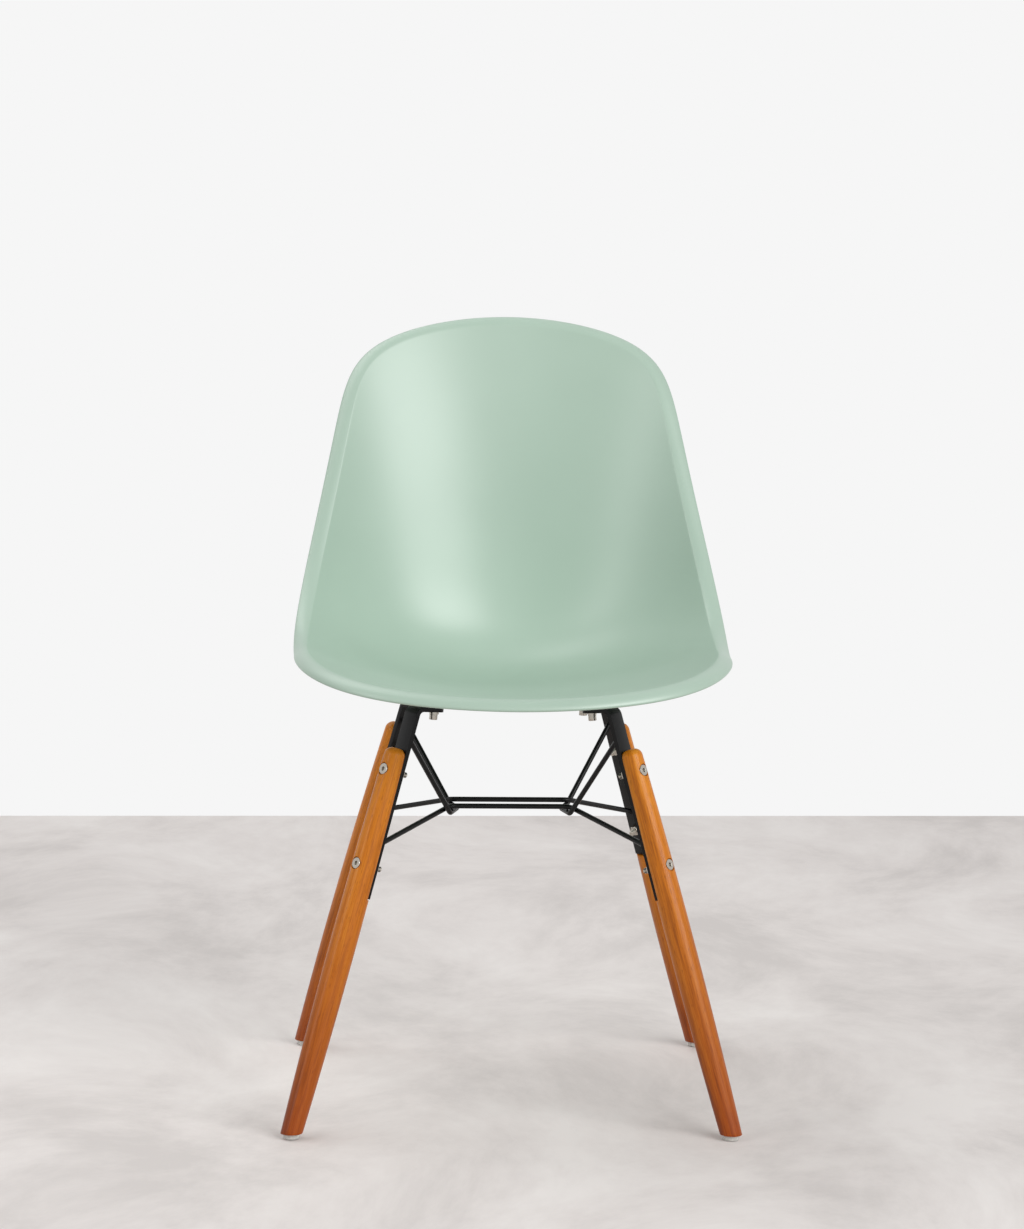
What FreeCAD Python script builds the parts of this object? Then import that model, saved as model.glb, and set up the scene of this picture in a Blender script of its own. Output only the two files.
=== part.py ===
import FreeCAD, Part
import math
import os

# Dining chair: a moulded plastic shell on four splayed turned wooden legs, with bent steel
# brackets and a welded wire brace. Millimetres, Z up, X across, the chair faces -Y.
# The origin is the middle of the chair on the floor.

# Shell
shell_width = 463.0          # over the rolled rim at the hips
shell_depth = 537.0          # front lip to the back of the top edge
shell_height = 360.0         # front lip underside to the top edge
lip_z = 460.0                # underside of the front lip above the floor
shell_y = 0.4                # middle of the shell's depth from the origin
wall = 4.5                   # moulded wall
rim_side = 15.7              # width of the rolled rim along the sides and the top
rim_front = 20.8             # width of the rolled rim along the front lip
rim_crease = 26.0            # angle at which the rim leaves the bowl along the sides
rim_turn_side = 73.0         # angle of the rim's edge along the sides and the top
rim_turn_front = 83.0        # angle of the rim's edge at the front lip
rim_nose = 1.8               # how far the rounded edge of the rim stands out
bowl_power_seat = 1.95       # cross section of the bowl at the front: height grows as x to this power
bowl_power_back = 2.3        # the same at the top of the back

# Legs, all of one length. The front ones stand steeper than the rear ones.
front_foot_x = 228.0         # middle of a front foot from the centre line
front_foot_y = 199.0
front_top_x = 122.0          # middle of a front leg's upper end
front_top_y = 116.0
leg_top_z = lip_z - 63.7
rear_foot_x = 221.5
rear_foot_y = 208.5
rear_top_x = 120.7
rear_top_drop = 8.1          # the rear legs end this much lower
leg_dia_foot = 22.4
leg_dia_belly = 27.8
leg_dia_top = 22.6
belly_share = 0.46           # place of the thickest section along the leg
leg_top_round = 8.0          # rounding of the leg's upper end
leg_flat = 6.0               # flat for the bracket, measured from the leg's axis
leg_flat_gap = 1.0           # wood left clear below the bracket's lower end

# Steel brackets
bar_width = 20.0
bar_thick = 5.0
bar_bend_radius = 5.0        # inner radius of the bend
bar_low = 159.5              # lower end of a bracket, down the leg from its upper end
mount_x = 82.8               # front seat bolts from the centre line
rear_mount_x = 80.5
front_tab_top_z = lip_z - 24.6   # top of the front tabs at the seat bolts
rear_tab_drop = 15.2         # how much lower the rear tabs are
front_tab_tilt = 6.5         # the front tabs fall this many degrees towards the middle
rear_tab_tilt = -4.5         # the rear tabs rise towards the middle

# Wire brace
rod_dia = 5.5
node_x = 64.0                # bend of the lower rods from the centre line
node_y = 20.0                # level runs of the lower rods from the centre line
node_z = leg_top_z - 78.8
rod_bend = 12.0              # centre line radius of the rods' bends
tip_bend = 7.0               # tighter bend at the foot of the side rods
dip_y = 30.0                 # foot of the side rods from the centre line
dip_in = 8.0                 # how far the side rods bow inward between their feet
rod_weld_drop = 100.3        # lower rods on the brackets, below the leg's upper end
front_rod_weld_rise = 10.2   # side rods on the front brackets, above the leg's upper end
rear_rod_weld_rise = 4.8     # side rods on the rear brackets
weld_gap = 0.2               # between two rods that are welded where they cross

# Fasteners
leg_bolt_dia = 6.0
leg_bolt_hole = 6.6
leg_head_dia = 12.0
leg_head_height = 4.0
leg_bolt_top = 24.5          # upper bolts, down the leg's axis from its upper end
leg_bolt_low = 126.5
counterbore_dia = 13.6
head_recess = 1.2            # the bolt heads lie this far under the wood's surface
nut_across = 10.0
nut_height = 5.0
bolt_end = 6.0               # bolt left standing out of the nut
seat_bolt_dia = 5.0
seat_bolt_hole = 5.6
seat_head_dia = 8.6
seat_head_height = 5.4
head_chamfer = 0.6
socket_across = 4.0
socket_depth = 2.4
washer_dia = 10.6
washer_thick = 1.6
lock_washer_dia = 9.2
lock_washer_thick = 1.8
lock_washer_slit = 1.2
insert_dia = 9.0
insert_length = 12.0
insert_spare = 1.0           # depth left free beyond the insert
insert_gap = 0.1             # radial clearance of pressed pieces
bolt_in_insert = 10.0        # how far a seat bolt reaches into its insert
pad_dia = 25.0
pad_thick = 3.0
boss_dia = 28.0

# Glides
glide_dia = 17.0
glide_height = 6.0
glide_round = 1.6
pin_dia = 2.6
pin_head_dia = 6.0
pin_head_thick = 1.2
pin_floor_gap = 1.6          # the pin's head lies this far above the floor
pin_in_wood = 15.0
pin_hole_spare = 1.0         # depth left free beyond the pin

V = FreeCAD.Vector
SIDES = ((1, "right"), (-1, "left"))
ENDS = ((-1, "front"), (1, "rear"))
FULL_TURN = 2 * math.pi


def spline(points):
    """Clamped cubic spline with even knots, guided by its points."""
    spans = len(points) - 3
    curve = Part.BSplineCurve()
    knots = [i / spans for i in range(spans + 1)]
    mults = [4] + [1] * (spans - 1) + [4]
    curve.buildFromPolesMultsKnots(points, mults, knots, False, 3)
    return curve


# The bowl follows two side views, each as shares of the shell's depth (from its middle) and
# height (from the lip's underside): the line down the middle and the line of the side edges.
MIDDLE_LINE = (
    (-0.510, 0.046), (-0.440, 0.016), (-0.305, -0.014), (-0.137, -0.036), (0.068, -0.063),
    (0.235, -0.080), (0.334, 0.006), (0.368, 0.250), (0.400, 0.500), (0.433, 0.736),
    (0.463, 0.917), (0.491, 1.083),
)
SIDE_LINE = (
    (-0.485, 0.096), (-0.422, 0.096), (-0.295, 0.096), (-0.165, 0.096), (-0.038, 0.081),
    (0.081, 0.122), (0.167, 0.255), (0.241, 0.436), (0.312, 0.633), (0.376, 0.828),
    (0.428, 0.978), (0.468, 1.110),
)
# Half of the bowl's width between its creases, as shares of the shell's full width.
HALF_WIDTH = (0.433, 0.458, 0.462, 0.466, 0.470, 0.466, 0.446, 0.416, 0.385, 0.359, 0.348, 0.348)

# The bowl's floor stays slightly rounded across its middle line.
FLOOR_ROUND = 0.0004

# The crease runs round the bowl between these shares of the side views' length.
CREASE_FRONT = 0.022
CREASE_MIDDLE = 0.470
CREASE_TOP = 0.9742
FRONT_CORNER = (2.65, 7.1)   # powers that round the front corners
TOP_CORNER = (2.07, 14.2)    # powers that round the shoulders

# The rim changes from its front section to its side section between these shares, and its
# crease fades out towards the top of the back.
FRONT_RIM_ENDS = 0.30
FRONT_RIM_BLEND = 0.25
CREASE_FADES = 0.86
CREASE_FADE = 0.10

# Fineness of the shell's surfaces.
RING_POINTS = 120
RIM_STEPS = 4
RIM_SUBSTEPS = 6
CREASE_SAMPLES = 3000
GRID_ACROSS = 17
GRID_ALONG = 33
GRID_EDGE = 1.03             # the bowl's surfaces run this far past the creases before trimming
NORMAL_STEP = 0.002


def side_view(shares):
    points = []
    for along, up in shares:
        points.append(V(0, shell_y + shell_depth * along, lip_z + shell_height * up))
    return spline(points)


middle_curve = side_view(MIDDLE_LINE)
side_curve = side_view(SIDE_LINE)
width_curve = spline([V(shell_width * share, 0, 0) for share in HALF_WIDTH])


def bowl_half(s):
    return width_curve.value(min(max(s, 0.0), 1.0)).x


def bowl_point(across, s):
    """Point of the bowl's inner surface; across is -1 to 1 between the creases, s 0 to 1."""
    low = middle_curve.value(s)
    high = side_curve.value(s)
    power = bowl_power_seat + (bowl_power_back - bowl_power_seat) * s
    lift = (across * across + FLOOR_ROUND) ** (power / 2)
    point = low + (high - low) * lift
    return V(across * bowl_half(s), point.y, point.z)


def bowl_normal(across, s):
    """Unit normal of the bowl, towards the sitter."""
    s_low = max(s - NORMAL_STEP, 0.0)
    s_high = min(s + NORMAL_STEP, 1.0)
    along_x = bowl_point(across + NORMAL_STEP, s) - bowl_point(across - NORMAL_STEP, s)
    along_s = bowl_point(across, s_high) - bowl_point(across, s_low)
    normal = along_x.cross(along_s)
    return normal.normalize()


def crease_share(angle):
    """Place on the crease: across and s for an angle of 0 at the right hip and 90 at the top."""
    c = math.cos(angle)
    s = math.sin(angle)
    if s >= 0:
        wide, tall = TOP_CORNER
        span = CREASE_TOP - CREASE_MIDDLE
    else:
        wide, tall = FRONT_CORNER
        span = CREASE_MIDDLE - CREASE_FRONT
    across = math.copysign(abs(c) ** (2 / wide), c)
    return across, CREASE_MIDDLE + math.copysign(abs(s) ** (2 / tall) * span, s)


def crease_places(count):
    """Places evenly spaced along the crease, beginning at the middle of the front."""
    start = -math.pi / 2
    turn = FULL_TURN / CREASE_SAMPLES
    shares = [crease_share(start + turn * i) for i in range(CREASE_SAMPLES + 1)]
    points = [bowl_point(a, s) for a, s in shares]
    run = [0.0]
    for i in range(CREASE_SAMPLES):
        run.append(run[-1] + (points[i + 1] - points[i]).Length)
    places = []
    j = 0
    for k in range(count):
        wanted = run[-1] * k / count
        while run[j + 1] < wanted:
            j += 1
        part = (wanted - run[j]) / (run[j + 1] - run[j])
        a = shares[j][0] + (shares[j + 1][0] - shares[j][0]) * part
        s = shares[j][1] + (shares[j + 1][1] - shares[j][1]) * part
        places.append((a, s))
    return places


def smooth_step(value):
    value = min(max(value, 0.0), 1.0)
    return value * value * (3 - 2 * value)


def rim_section(s):
    """Width, first angle and last angle of the rolled rim at a place s along the side view."""
    front = smooth_step((FRONT_RIM_ENDS - s) / FRONT_RIM_BLEND)
    width = rim_side + (rim_front - rim_side) * front
    top = smooth_step((s - CREASE_FADES) / CREASE_FADE)
    first = math.radians(rim_crease * (1 - front) * (1 - top))
    last = math.radians(rim_turn_side + (rim_turn_front - rim_turn_side) * front)
    return width, first, last


def bowl_surface(depth):
    """The bowl's surface, set back by depth from the inner one."""
    rows = []
    for i in range(GRID_ALONG):
        s = i / (GRID_ALONG - 1)
        row = []
        for j in range(GRID_ACROSS):
            across = GRID_EDGE * (2 * j / (GRID_ACROSS - 1) - 1)
            row.append(bowl_point(across, s) - bowl_normal(across, s) * depth)
        rows.append(row)
    surface = Part.BSplineSurface()
    surface.interpolate(rows)
    return surface


def on_surface(surface, points):
    """The points' nearest places on a surface, as surface parameters."""
    return [surface.parameter(point) for point in points]


def even_steps(count):
    return [float(i) for i in range(count + 1)]


def half_spans(closed_curve):
    """Parameter spans of a closed curve's two halves, split at the first and middle points."""
    knots = closed_curve.getKnots()
    middle = knots[len(knots) // 2]
    return ((knots[0], middle), (middle, knots[-1]))


def crease_wire(surface, places):
    """Closed smooth line on a surface through parameter places, in two halves."""
    outline = Part.Geom2d.BSplineCurve2d()
    flat = [FreeCAD.Base.Vector2d(u, v) for u, v in places]
    outline.interpolate(flat, PeriodicFlag=True, Parameters=even_steps(len(flat)))
    return Part.Wire([outline.toShape(surface, low, high) for low, high in half_spans(outline)])


def trimmed_face(surface, wire):
    """The part of a surface inside a closed line that lies on it."""
    face = Part.Face(surface, wire)
    face.validate()
    return face


def ring(points):
    curve = Part.BSplineCurve()
    curve.interpolate(points, PeriodicFlag=True, Parameters=even_steps(len(points)))
    return Part.Wire([curve.toShape(low, high) for low, high in half_spans(curve)])


def make_shell_body():
    """Bowl and rolled rim as one closed wall."""
    inner = bowl_surface(0.0)
    outer = bowl_surface(wall)
    places = crease_places(RING_POINTS)
    crease_in = on_surface(inner, [bowl_point(a, s) for a, s in places])
    start = [inner.value(u, v) for u, v in crease_in]
    top_rings = [start]
    frames = []
    for k, (a, s) in enumerate(places):
        normal = bowl_normal(a, s)
        ahead = start[(k + 1) % RING_POINTS] - start[k - 1]
        outward = ahead.cross(normal).normalize()
        frames.append((normal, outward, rim_section(s)))
    seat_back = []
    for k in range(RING_POINTS):
        normal, outward, (width, first, last) = frames[k]
        seat_back.append(start[k] - normal * wall - outward * wall * math.tan(first / 2))
    crease_out = on_surface(outer, seat_back)
    under_rings = [[outer.value(u, v) for u, v in crease_out]]
    current = list(start)
    for step in range(1, RIM_STEPS + 1):
        top_ring = []
        under_ring = []
        for k in range(RING_POINTS):
            normal, outward, (width, first, last) = frames[k]
            point = current[k]
            for i in range(RIM_SUBSTEPS):
                share = (step - 1 + (i + 0.5) / RIM_SUBSTEPS) / RIM_STEPS
                angle = first + (last - first) * share
                heading = outward * math.cos(angle) - normal * math.sin(angle)
                point = point + heading * (width / RIM_STEPS / RIM_SUBSTEPS)
            angle = first + (last - first) * step / RIM_STEPS
            facing = normal * math.cos(angle) + outward * math.sin(angle)
            top_ring.append(point)
            under_ring.append(point - facing * wall)
        current = top_ring
        top_rings.append(top_ring)
        under_rings.append(under_ring)
    nose = []
    for k in range(RING_POINTS):
        normal, outward, (width, first, last) = frames[k]
        heading = outward * math.cos(last) - normal * math.sin(last)
        nose.append((top_rings[-1][k] + under_rings[-1][k]) * 0.5 + heading * rim_nose)
    top_wires = [crease_wire(inner, crease_in)] + [ring(points) for points in top_rings[1:]]
    under_wires = [crease_wire(outer, crease_out)] + [ring(points) for points in under_rings[1:]]
    faces = [trimmed_face(inner, top_wires[0]), trimmed_face(outer, under_wires[0])]
    for wires in (top_wires, under_wires, [top_wires[-1], ring(nose), under_wires[-1]]):
        faces += Part.makeLoft(wires, False, False).Faces
    skin = Part.Shell(faces)
    skin.sewShape()
    body = Part.Solid(skin)
    if body.Volume < 0:
        body.reverse()
    return body


LEG_LENGTH = math.dist(
    (front_foot_x, front_foot_y, glide_height), (front_top_x, front_top_y, leg_top_z))


def foot_and_top(side, end):
    """Middles of a leg's lower and upper ends. All legs have the front legs' length."""
    if end < 0:
        foot = V(front_foot_x, front_foot_y, glide_height)
        top = V(front_top_x, front_top_y, leg_top_z)
    else:
        foot = V(rear_foot_x, rear_foot_y, glide_height)
        top = V(rear_top_x, 0, leg_top_z - rear_top_drop)
        rest = LEG_LENGTH ** 2 - (foot.x - top.x) ** 2 - (foot.z - top.z) ** 2
        top.y = foot.y - math.sqrt(rest)
    return V(foot.x * side, foot.y * end, foot.z), V(top.x * side, top.y * end, top.z)


def floor_point(side, end):
    """The point of the floor under a leg."""
    foot = foot_and_top(side, end)[0]
    return V(foot.x, foot.y, 0)


def lean_of_leg(end):
    """Sine and cosine of a leg's lean."""
    foot, top = foot_and_top(1, end)
    return math.hypot(foot.x - top.x, foot.y - top.y) / LEG_LENGTH, (top.z - foot.z) / LEG_LENGTH


def frame(origin, x_axis, z_axis):
    """Placement with its x and z axes along the given unit vectors."""
    y_axis = z_axis.cross(x_axis)
    matrix = FreeCAD.Matrix(
        x_axis.x, y_axis.x, z_axis.x, origin.x,
        x_axis.y, y_axis.y, z_axis.y, origin.y,
        x_axis.z, y_axis.z, z_axis.z, origin.z,
        0, 0, 0, 1)
    return FreeCAD.Placement(matrix)


def leg_frame(side, end):
    """A leg's own frame: z up the leg from its foot, x outward, square to the leg."""
    foot, top = foot_and_top(side, end)
    lean_sin, lean_cos = lean_of_leg(end)
    level = V(foot.x - top.x, foot.y - top.y, 0).normalize()
    outward = level * lean_cos + V(0, 0, 1) * lean_sin
    return frame(foot, outward, (top - foot).normalize())


def in_leg_plane(end, inward, z):
    """A world height and a level distance inward from the foot, in the leg's own x and z."""
    lean_sin, lean_cos = lean_of_leg(end)
    up = z - glide_height
    return V(up * lean_sin - inward * lean_cos, 0, inward * lean_sin + up * lean_cos)


def leg_outline():
    """The bowed side of a leg, as an arc in its own frame."""
    foot = V(leg_dia_foot / 2, 0, 0)
    belly = V(leg_dia_belly / 2, 0, LEG_LENGTH * belly_share)
    top = V(leg_dia_top / 2, 0, LEG_LENGTH - leg_top_round)
    return Part.Arc(foot, belly, top)


def leg_radius(up):
    circle = leg_outline().toShape().Curve
    return circle.Center.x + math.sqrt(circle.Radius ** 2 - (up - circle.Center.z) ** 2)


BAR_FOOT = LEG_LENGTH - bar_low
LEG_BOLTS = (LEG_LENGTH - leg_bolt_low, LEG_LENGTH - leg_bolt_top)


def bolt_seat(up):
    """Where the head of a leg bolt bears, out from the leg's axis."""
    return leg_radius(up) - head_recess - leg_head_height


def rod_along_x(diameter, start, end, up):
    """Cylinder along a leg frame's x axis, at a height up the leg."""
    return Part.makeCylinder(diameter / 2, end - start, V(start, 0, up), V(1, 0, 0))


def make_leg(side, end):
    below = leg_dia_foot
    top_radius = leg_dia_top / 2
    shoulder = LEG_LENGTH - leg_top_round
    mid = leg_top_round * math.sqrt(0.5)
    crown = Part.Arc(
        V(top_radius, 0, shoulder),
        V(top_radius - leg_top_round + mid, 0, shoulder + mid),
        V(top_radius - leg_top_round, 0, LEG_LENGTH))
    edges = [
        Part.makeLine(V(0, 0, -below), V(leg_dia_foot / 2, 0, -below)),
        Part.makeLine(V(leg_dia_foot / 2, 0, -below), V(leg_dia_foot / 2, 0, 0)),
        leg_outline().toShape(),
        crown.toShape(),
        Part.makeLine(V(top_radius - leg_top_round, 0, LEG_LENGTH), V(0, 0, LEG_LENGTH)),
        Part.makeLine(V(0, 0, LEG_LENGTH), V(0, 0, -below)),
    ]
    leg = Part.Face(Part.Wire(edges)).revolve(V(0, 0, 0), V(0, 0, 1), 360)
    span = leg_dia_belly
    corner = V(-leg_flat - span, -span, BAR_FOOT - leg_flat_gap)
    leg = leg.cut(Part.makeBox(span, 2 * span, LEG_LENGTH, corner))
    for up in LEG_BOLTS:
        leg = leg.cut(rod_along_x(leg_bolt_hole, -span, span, up))
        leg = leg.cut(rod_along_x(counterbore_dia, bolt_seat(up), span, up))
    leg.Placement = leg_frame(side, end)
    foot = floor_point(side, end)
    corner = foot - V(2 * below, 2 * below, 2 * below)
    leg = leg.cut(Part.makeBox(4 * below, 4 * below, 2 * below + glide_height, corner))
    pin_hole = Part.makeCylinder(pin_dia / 2 + insert_gap, glide_height + pin_in_wood, foot)
    return leg.cut(pin_hole)


def tab_centre(end):
    """Middle of a tab's thickness at its seat bolt, in the leg's own frame, and its tilt."""
    foot, top = foot_and_top(1, end)
    lean_sin = lean_of_leg(end)[0]
    bolt_x = mount_x if end < 0 else rear_mount_x
    inward = (foot.x - bolt_x) / (foot.x - top.x) * lean_sin * LEG_LENGTH
    face = front_tab_top_z if end < 0 else front_tab_top_z - rear_tab_drop
    tilt = math.radians(front_tab_tilt if end < 0 else rear_tab_tilt)
    return in_leg_plane(end, inward, face - bar_thick / 2), math.asin(lean_sin) - tilt


def make_bracket(side, end):
    """Flat bar along the leg's inner side, bent over into a round ended tab."""
    half = bar_thick / 2
    middle_x = -leg_flat - half
    hole, rise = tab_centre(end)
    face_up = V(math.sin(rise), 0, math.cos(rise))
    reach = (middle_x - hole.x) / math.cos(rise)
    radius = bar_bend_radius + half
    corner_z = hole.z - reach * math.sin(rise)
    bend_z = corner_z - radius * math.tan((math.pi / 2 - rise) / 2)
    centre = V(middle_x - radius, 0, bend_z)
    half_turn = (math.pi / 2 - rise) / 2
    mid_dir = V(math.cos(half_turn), 0, math.sin(half_turn))
    low = V(middle_x, 0, BAR_FOOT)
    out = V(1, 0, 0)
    outer = radius + half
    inner = radius - half
    edges = [
        Part.makeLine(low - out * half, low + out * half),
        Part.makeLine(low + out * half, centre + out * outer),
        Part.Arc(centre + out * outer, centre + mid_dir * outer, centre + face_up * outer).toShape(),
        Part.makeLine(centre + face_up * outer, hole + face_up * half),
        Part.makeLine(hole + face_up * half, hole - face_up * half),
        Part.makeLine(hole - face_up * half, centre + face_up * inner),
        Part.Arc(centre + face_up * inner, centre + mid_dir * inner, centre + out * inner).toShape(),
        Part.makeLine(centre + out * inner, low - out * half),
    ]
    strip = Part.Face(Part.Wire(edges))
    strip.translate(V(0, -bar_width / 2, 0))
    bar = strip.extrude(V(0, bar_width, 0))
    tab_end = Part.makeCylinder(bar_width / 2, bar_thick, hole - face_up * half, face_up)
    bar = bar.fuse(tab_end).removeSplitter()
    start = hole - face_up * bar_thick
    bar = bar.cut(Part.makeCylinder(seat_bolt_hole / 2, 2 * bar_thick, start, face_up))
    for up in LEG_BOLTS:
        bar = bar.cut(rod_along_x(leg_bolt_hole, -leg_flat - 2 * bar_thick, 0, up))
    bar.Placement = leg_frame(side, end)
    return bar


def tab_frame(side, end):
    """Frame at a seat bolt: z square to the tab and up, origin in the middle of its thickness."""
    leg = leg_frame(side, end)
    hole, rise = tab_centre(end)
    heading = leg.Rotation.multVec(V(-math.cos(rise), 0, math.sin(rise)))
    face_up = leg.Rotation.multVec(V(math.sin(rise), 0, math.cos(rise)))
    return frame(leg.multVec(hole), heading, face_up)


def weld_point(side, end, rise):
    """Middle of a bracket's inner face at a height over the leg's upper end."""
    lean_sin, lean_cos = lean_of_leg(end)
    x = -leg_flat - bar_thick
    up = LEG_LENGTH + (rise - x * lean_sin) / lean_cos
    return leg_frame(side, end).multVec(V(x, 0, up))


def bent_rod(points, radii):
    """Round rod along straight runs joined by tangent arcs."""
    edges = []
    start = points[0]
    for i in range(1, len(points) - 1):
        corner = points[i]
        back = (points[i - 1] - corner).normalize()
        ahead = (points[i + 1] - corner).normalize()
        half = back.getAngle(ahead) / 2
        along = radii[i - 1] / math.tan(half)
        first = corner + back * along
        last = corner + ahead * along
        bisector = (back + ahead).normalize()
        middle = corner + bisector * (radii[i - 1] / math.sin(half) - radii[i - 1])
        edges.append(Part.makeLine(start, first))
        edges.append(Part.Arc(first, middle, last).toShape())
        start = last
    edges.append(Part.makeLine(start, points[-1]))
    heading = (points[1] - points[0]).normalize()
    circle = Part.Wire([Part.makeCircle(rod_dia / 2, points[0], heading)])
    return Part.Wire(edges).makePipeShell([circle], True, False)


def past_bracket(side, end):
    """Everything outward of a bracket's inner face, to trim the rods against it."""
    size = 3 * bar_width
    corner = V(-leg_flat - bar_thick, -size, -size)
    block = Part.makeBox(size, 2 * size, LEG_LENGTH + 2 * size, corner)
    block.Placement = leg_frame(side, end)
    return block


def make_lower_rod(end):
    """Rod from the left bracket over two bends to the right one."""
    ends = [weld_point(side, end, -rod_weld_drop) for side in (-1, 1)]
    nodes = [V(node_x * side, node_y * end, node_z) for side in (-1, 1)]
    over = 2 * rod_dia
    first = ends[0] + (ends[0] - nodes[0]).normalize() * over
    last = ends[1] + (ends[1] - nodes[1]).normalize() * over
    rod = bent_rod([first, nodes[0], nodes[1], last], [rod_bend, rod_bend])
    for side in (-1, 1):
        rod = rod.cut(past_bracket(side, end))
    return rod


def make_side_rod(side):
    """Rod from the front bracket down under the two lower rods and up to the rear bracket."""
    under = node_z - rod_dia - weld_gap
    front = weld_point(side, -1, front_rod_weld_rise)
    rear = weld_point(side, 1, rear_rod_weld_rise)
    feet = [V(node_x * side, dip_y * end, under) for end in (-1, 1)]
    middle = V((node_x - dip_in) * side, 0, under)
    over = 2 * rod_dia
    first = front + (front - feet[0]).normalize() * over
    last = rear + (rear - feet[1]).normalize() * over
    rod = bent_rod([first, feet[0], middle, feet[1], last], [tip_bend, rod_bend, tip_bend])
    for end in (-1, 1):
        rod = rod.cut(past_bracket(side, end))
    return rod


def hexagon(across, height, base, axis):
    """Six sided prism from its width across flats."""
    radius = across / math.sqrt(3)
    turns = [i * FULL_TURN / 6 for i in range(6)]
    corners = [V(radius * math.cos(turn), radius * math.sin(turn), 0) for turn in turns]
    prism = Part.Face(Part.makePolygon(corners + corners[:1])).extrude(V(0, 0, height))
    prism.Placement = FreeCAD.Placement(base, FreeCAD.Rotation(V(0, 0, 1), axis))
    return prism


def socket_screw(shank_dia, length, head_dia, head_height):
    """Socket head screw with its head below z = 0 and its shank up to the given length."""
    head = Part.makeCylinder(head_dia / 2, head_height, V(0, 0, -head_height))
    head = head.makeChamfer(head_chamfer, lowest_circle(head))
    shank = Part.makeCylinder(shank_dia / 2, length)
    screw = head.fuse(shank)
    return screw.cut(hexagon(socket_across, socket_depth, V(0, 0, -head_height), V(0, 0, 1)))


def lowest_circle(shape):
    """The round edge at the bottom of an upright turned piece."""
    circles = [edge for edge in shape.Edges if edge.Closed]
    return [min(circles, key=lambda edge: edge.CenterOfMass.z)]


def ring_plate(outer_dia, inner_dia, height, z):
    plate = Part.makeCylinder(outer_dia / 2, height, V(0, 0, z))
    return plate.cut(Part.makeCylinder(inner_dia / 2, height, V(0, 0, z)))


def placed(shape, placement):
    shape = shape.copy()
    shape.Placement = placement.multiply(shape.Placement)
    return shape


def every_corner(make):
    """One piece at each of the four corners."""
    return [make(side, end) for side, name in SIDES for end, label in ENDS]


def leg_screws(side, end):
    """Two screws through a leg and its bracket, heads outward."""
    screws = []
    for up in LEG_BOLTS:
        seat = bolt_seat(up)
        length = seat + leg_flat + bar_thick + nut_height + bolt_end
        screw = socket_screw(leg_bolt_dia, length, leg_head_dia, leg_head_height)
        inward = FreeCAD.Placement(V(seat, 0, up), FreeCAD.Rotation(V(0, 0, 1), V(-1, 0, 0)))
        screws.append(placed(placed(screw, inward), leg_frame(side, end)))
    return screws


def leg_nuts(side, end):
    nuts = []
    for up in LEG_BOLTS:
        start = V(-leg_flat - bar_thick, 0, up)
        nut = hexagon(nut_across, nut_height, start, V(-1, 0, 0))
        nut = nut.cut(rod_along_x(leg_bolt_dia + 2 * insert_gap, start.x - 2 * nut_height, 0, up))
        nuts.append(placed(nut, leg_frame(side, end)))
    return nuts


TAB_UNDER = -bar_thick / 2
HEAD_TOP = TAB_UNDER - washer_thick - lock_washer_thick
PAD_UNDER = bar_thick / 2
BOSS_UNDER = PAD_UNDER + pad_thick


def seat_screw(side, end):
    length = BOSS_UNDER - HEAD_TOP + bolt_in_insert
    screw = socket_screw(seat_bolt_dia, length, seat_head_dia, seat_head_height)
    screw = placed(screw, FreeCAD.Placement(V(0, 0, HEAD_TOP), FreeCAD.Rotation()))
    return placed(screw, tab_frame(side, end))


def seat_washer(side, end):
    washer = ring_plate(washer_dia, seat_bolt_hole, washer_thick, TAB_UNDER - washer_thick)
    return placed(washer, tab_frame(side, end))


def seat_lock_washer(side, end):
    """Spring washer with its slit, flattened under the screw's head."""
    washer = ring_plate(lock_washer_dia, seat_bolt_hole, lock_washer_thick, HEAD_TOP)
    corner = V(0, -lock_washer_slit / 2, HEAD_TOP)
    slit = Part.makeBox(lock_washer_dia, lock_washer_slit, lock_washer_thick, corner)
    return placed(washer.cut(slit), tab_frame(side, end))


def seat_pad(side, end):
    return placed(ring_plate(pad_dia, seat_bolt_hole, pad_thick, PAD_UNDER), tab_frame(side, end))


def seat_insert(side, end):
    bore = seat_bolt_dia + 2 * insert_gap
    insert = ring_plate(insert_dia, bore, insert_length, BOSS_UNDER)
    return placed(insert, tab_frame(side, end))


def make_shell():
    """Bowl, rim and the four bosses that stand on the pads."""
    body = make_shell_body()
    for side, name in SIDES:
        for end, label in ENDS:
            at = tab_frame(side, end)
            through = Part.makeCylinder(boss_dia / 2, shell_height / 2, V(0, 0, BOSS_UNDER))
            outside = placed(through, at).cut(body).Solids
            boss = min(outside, key=lambda piece: piece.CenterOfMass.z)
            body = body.fuse(boss)
            depth = insert_length + insert_spare
            hole = Part.makeCylinder(insert_dia / 2 + insert_gap, depth, V(0, 0, BOSS_UNDER))
            body = body.cut(placed(hole, at))
    return body


def make_glide(side, end):
    foot = floor_point(side, end)
    glide = Part.makeCylinder(glide_dia / 2, glide_height, foot)
    glide = glide.makeFillet(glide_round, lowest_circle(glide))
    head_room = pin_floor_gap + pin_head_thick
    glide = glide.cut(Part.makeCylinder(pin_head_dia / 2 + insert_gap, head_room, foot))
    return glide.cut(Part.makeCylinder(pin_dia / 2 + insert_gap, glide_height, foot))


def glide_pin(side, end):
    base = floor_point(side, end) + V(0, 0, pin_floor_gap)
    head = Part.makeCylinder(pin_head_dia / 2, pin_head_thick, base)
    length = glide_height + pin_in_wood - pin_floor_gap - pin_hole_spare
    return head.fuse(Part.makeCylinder(pin_dia / 2, length, base))


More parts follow.
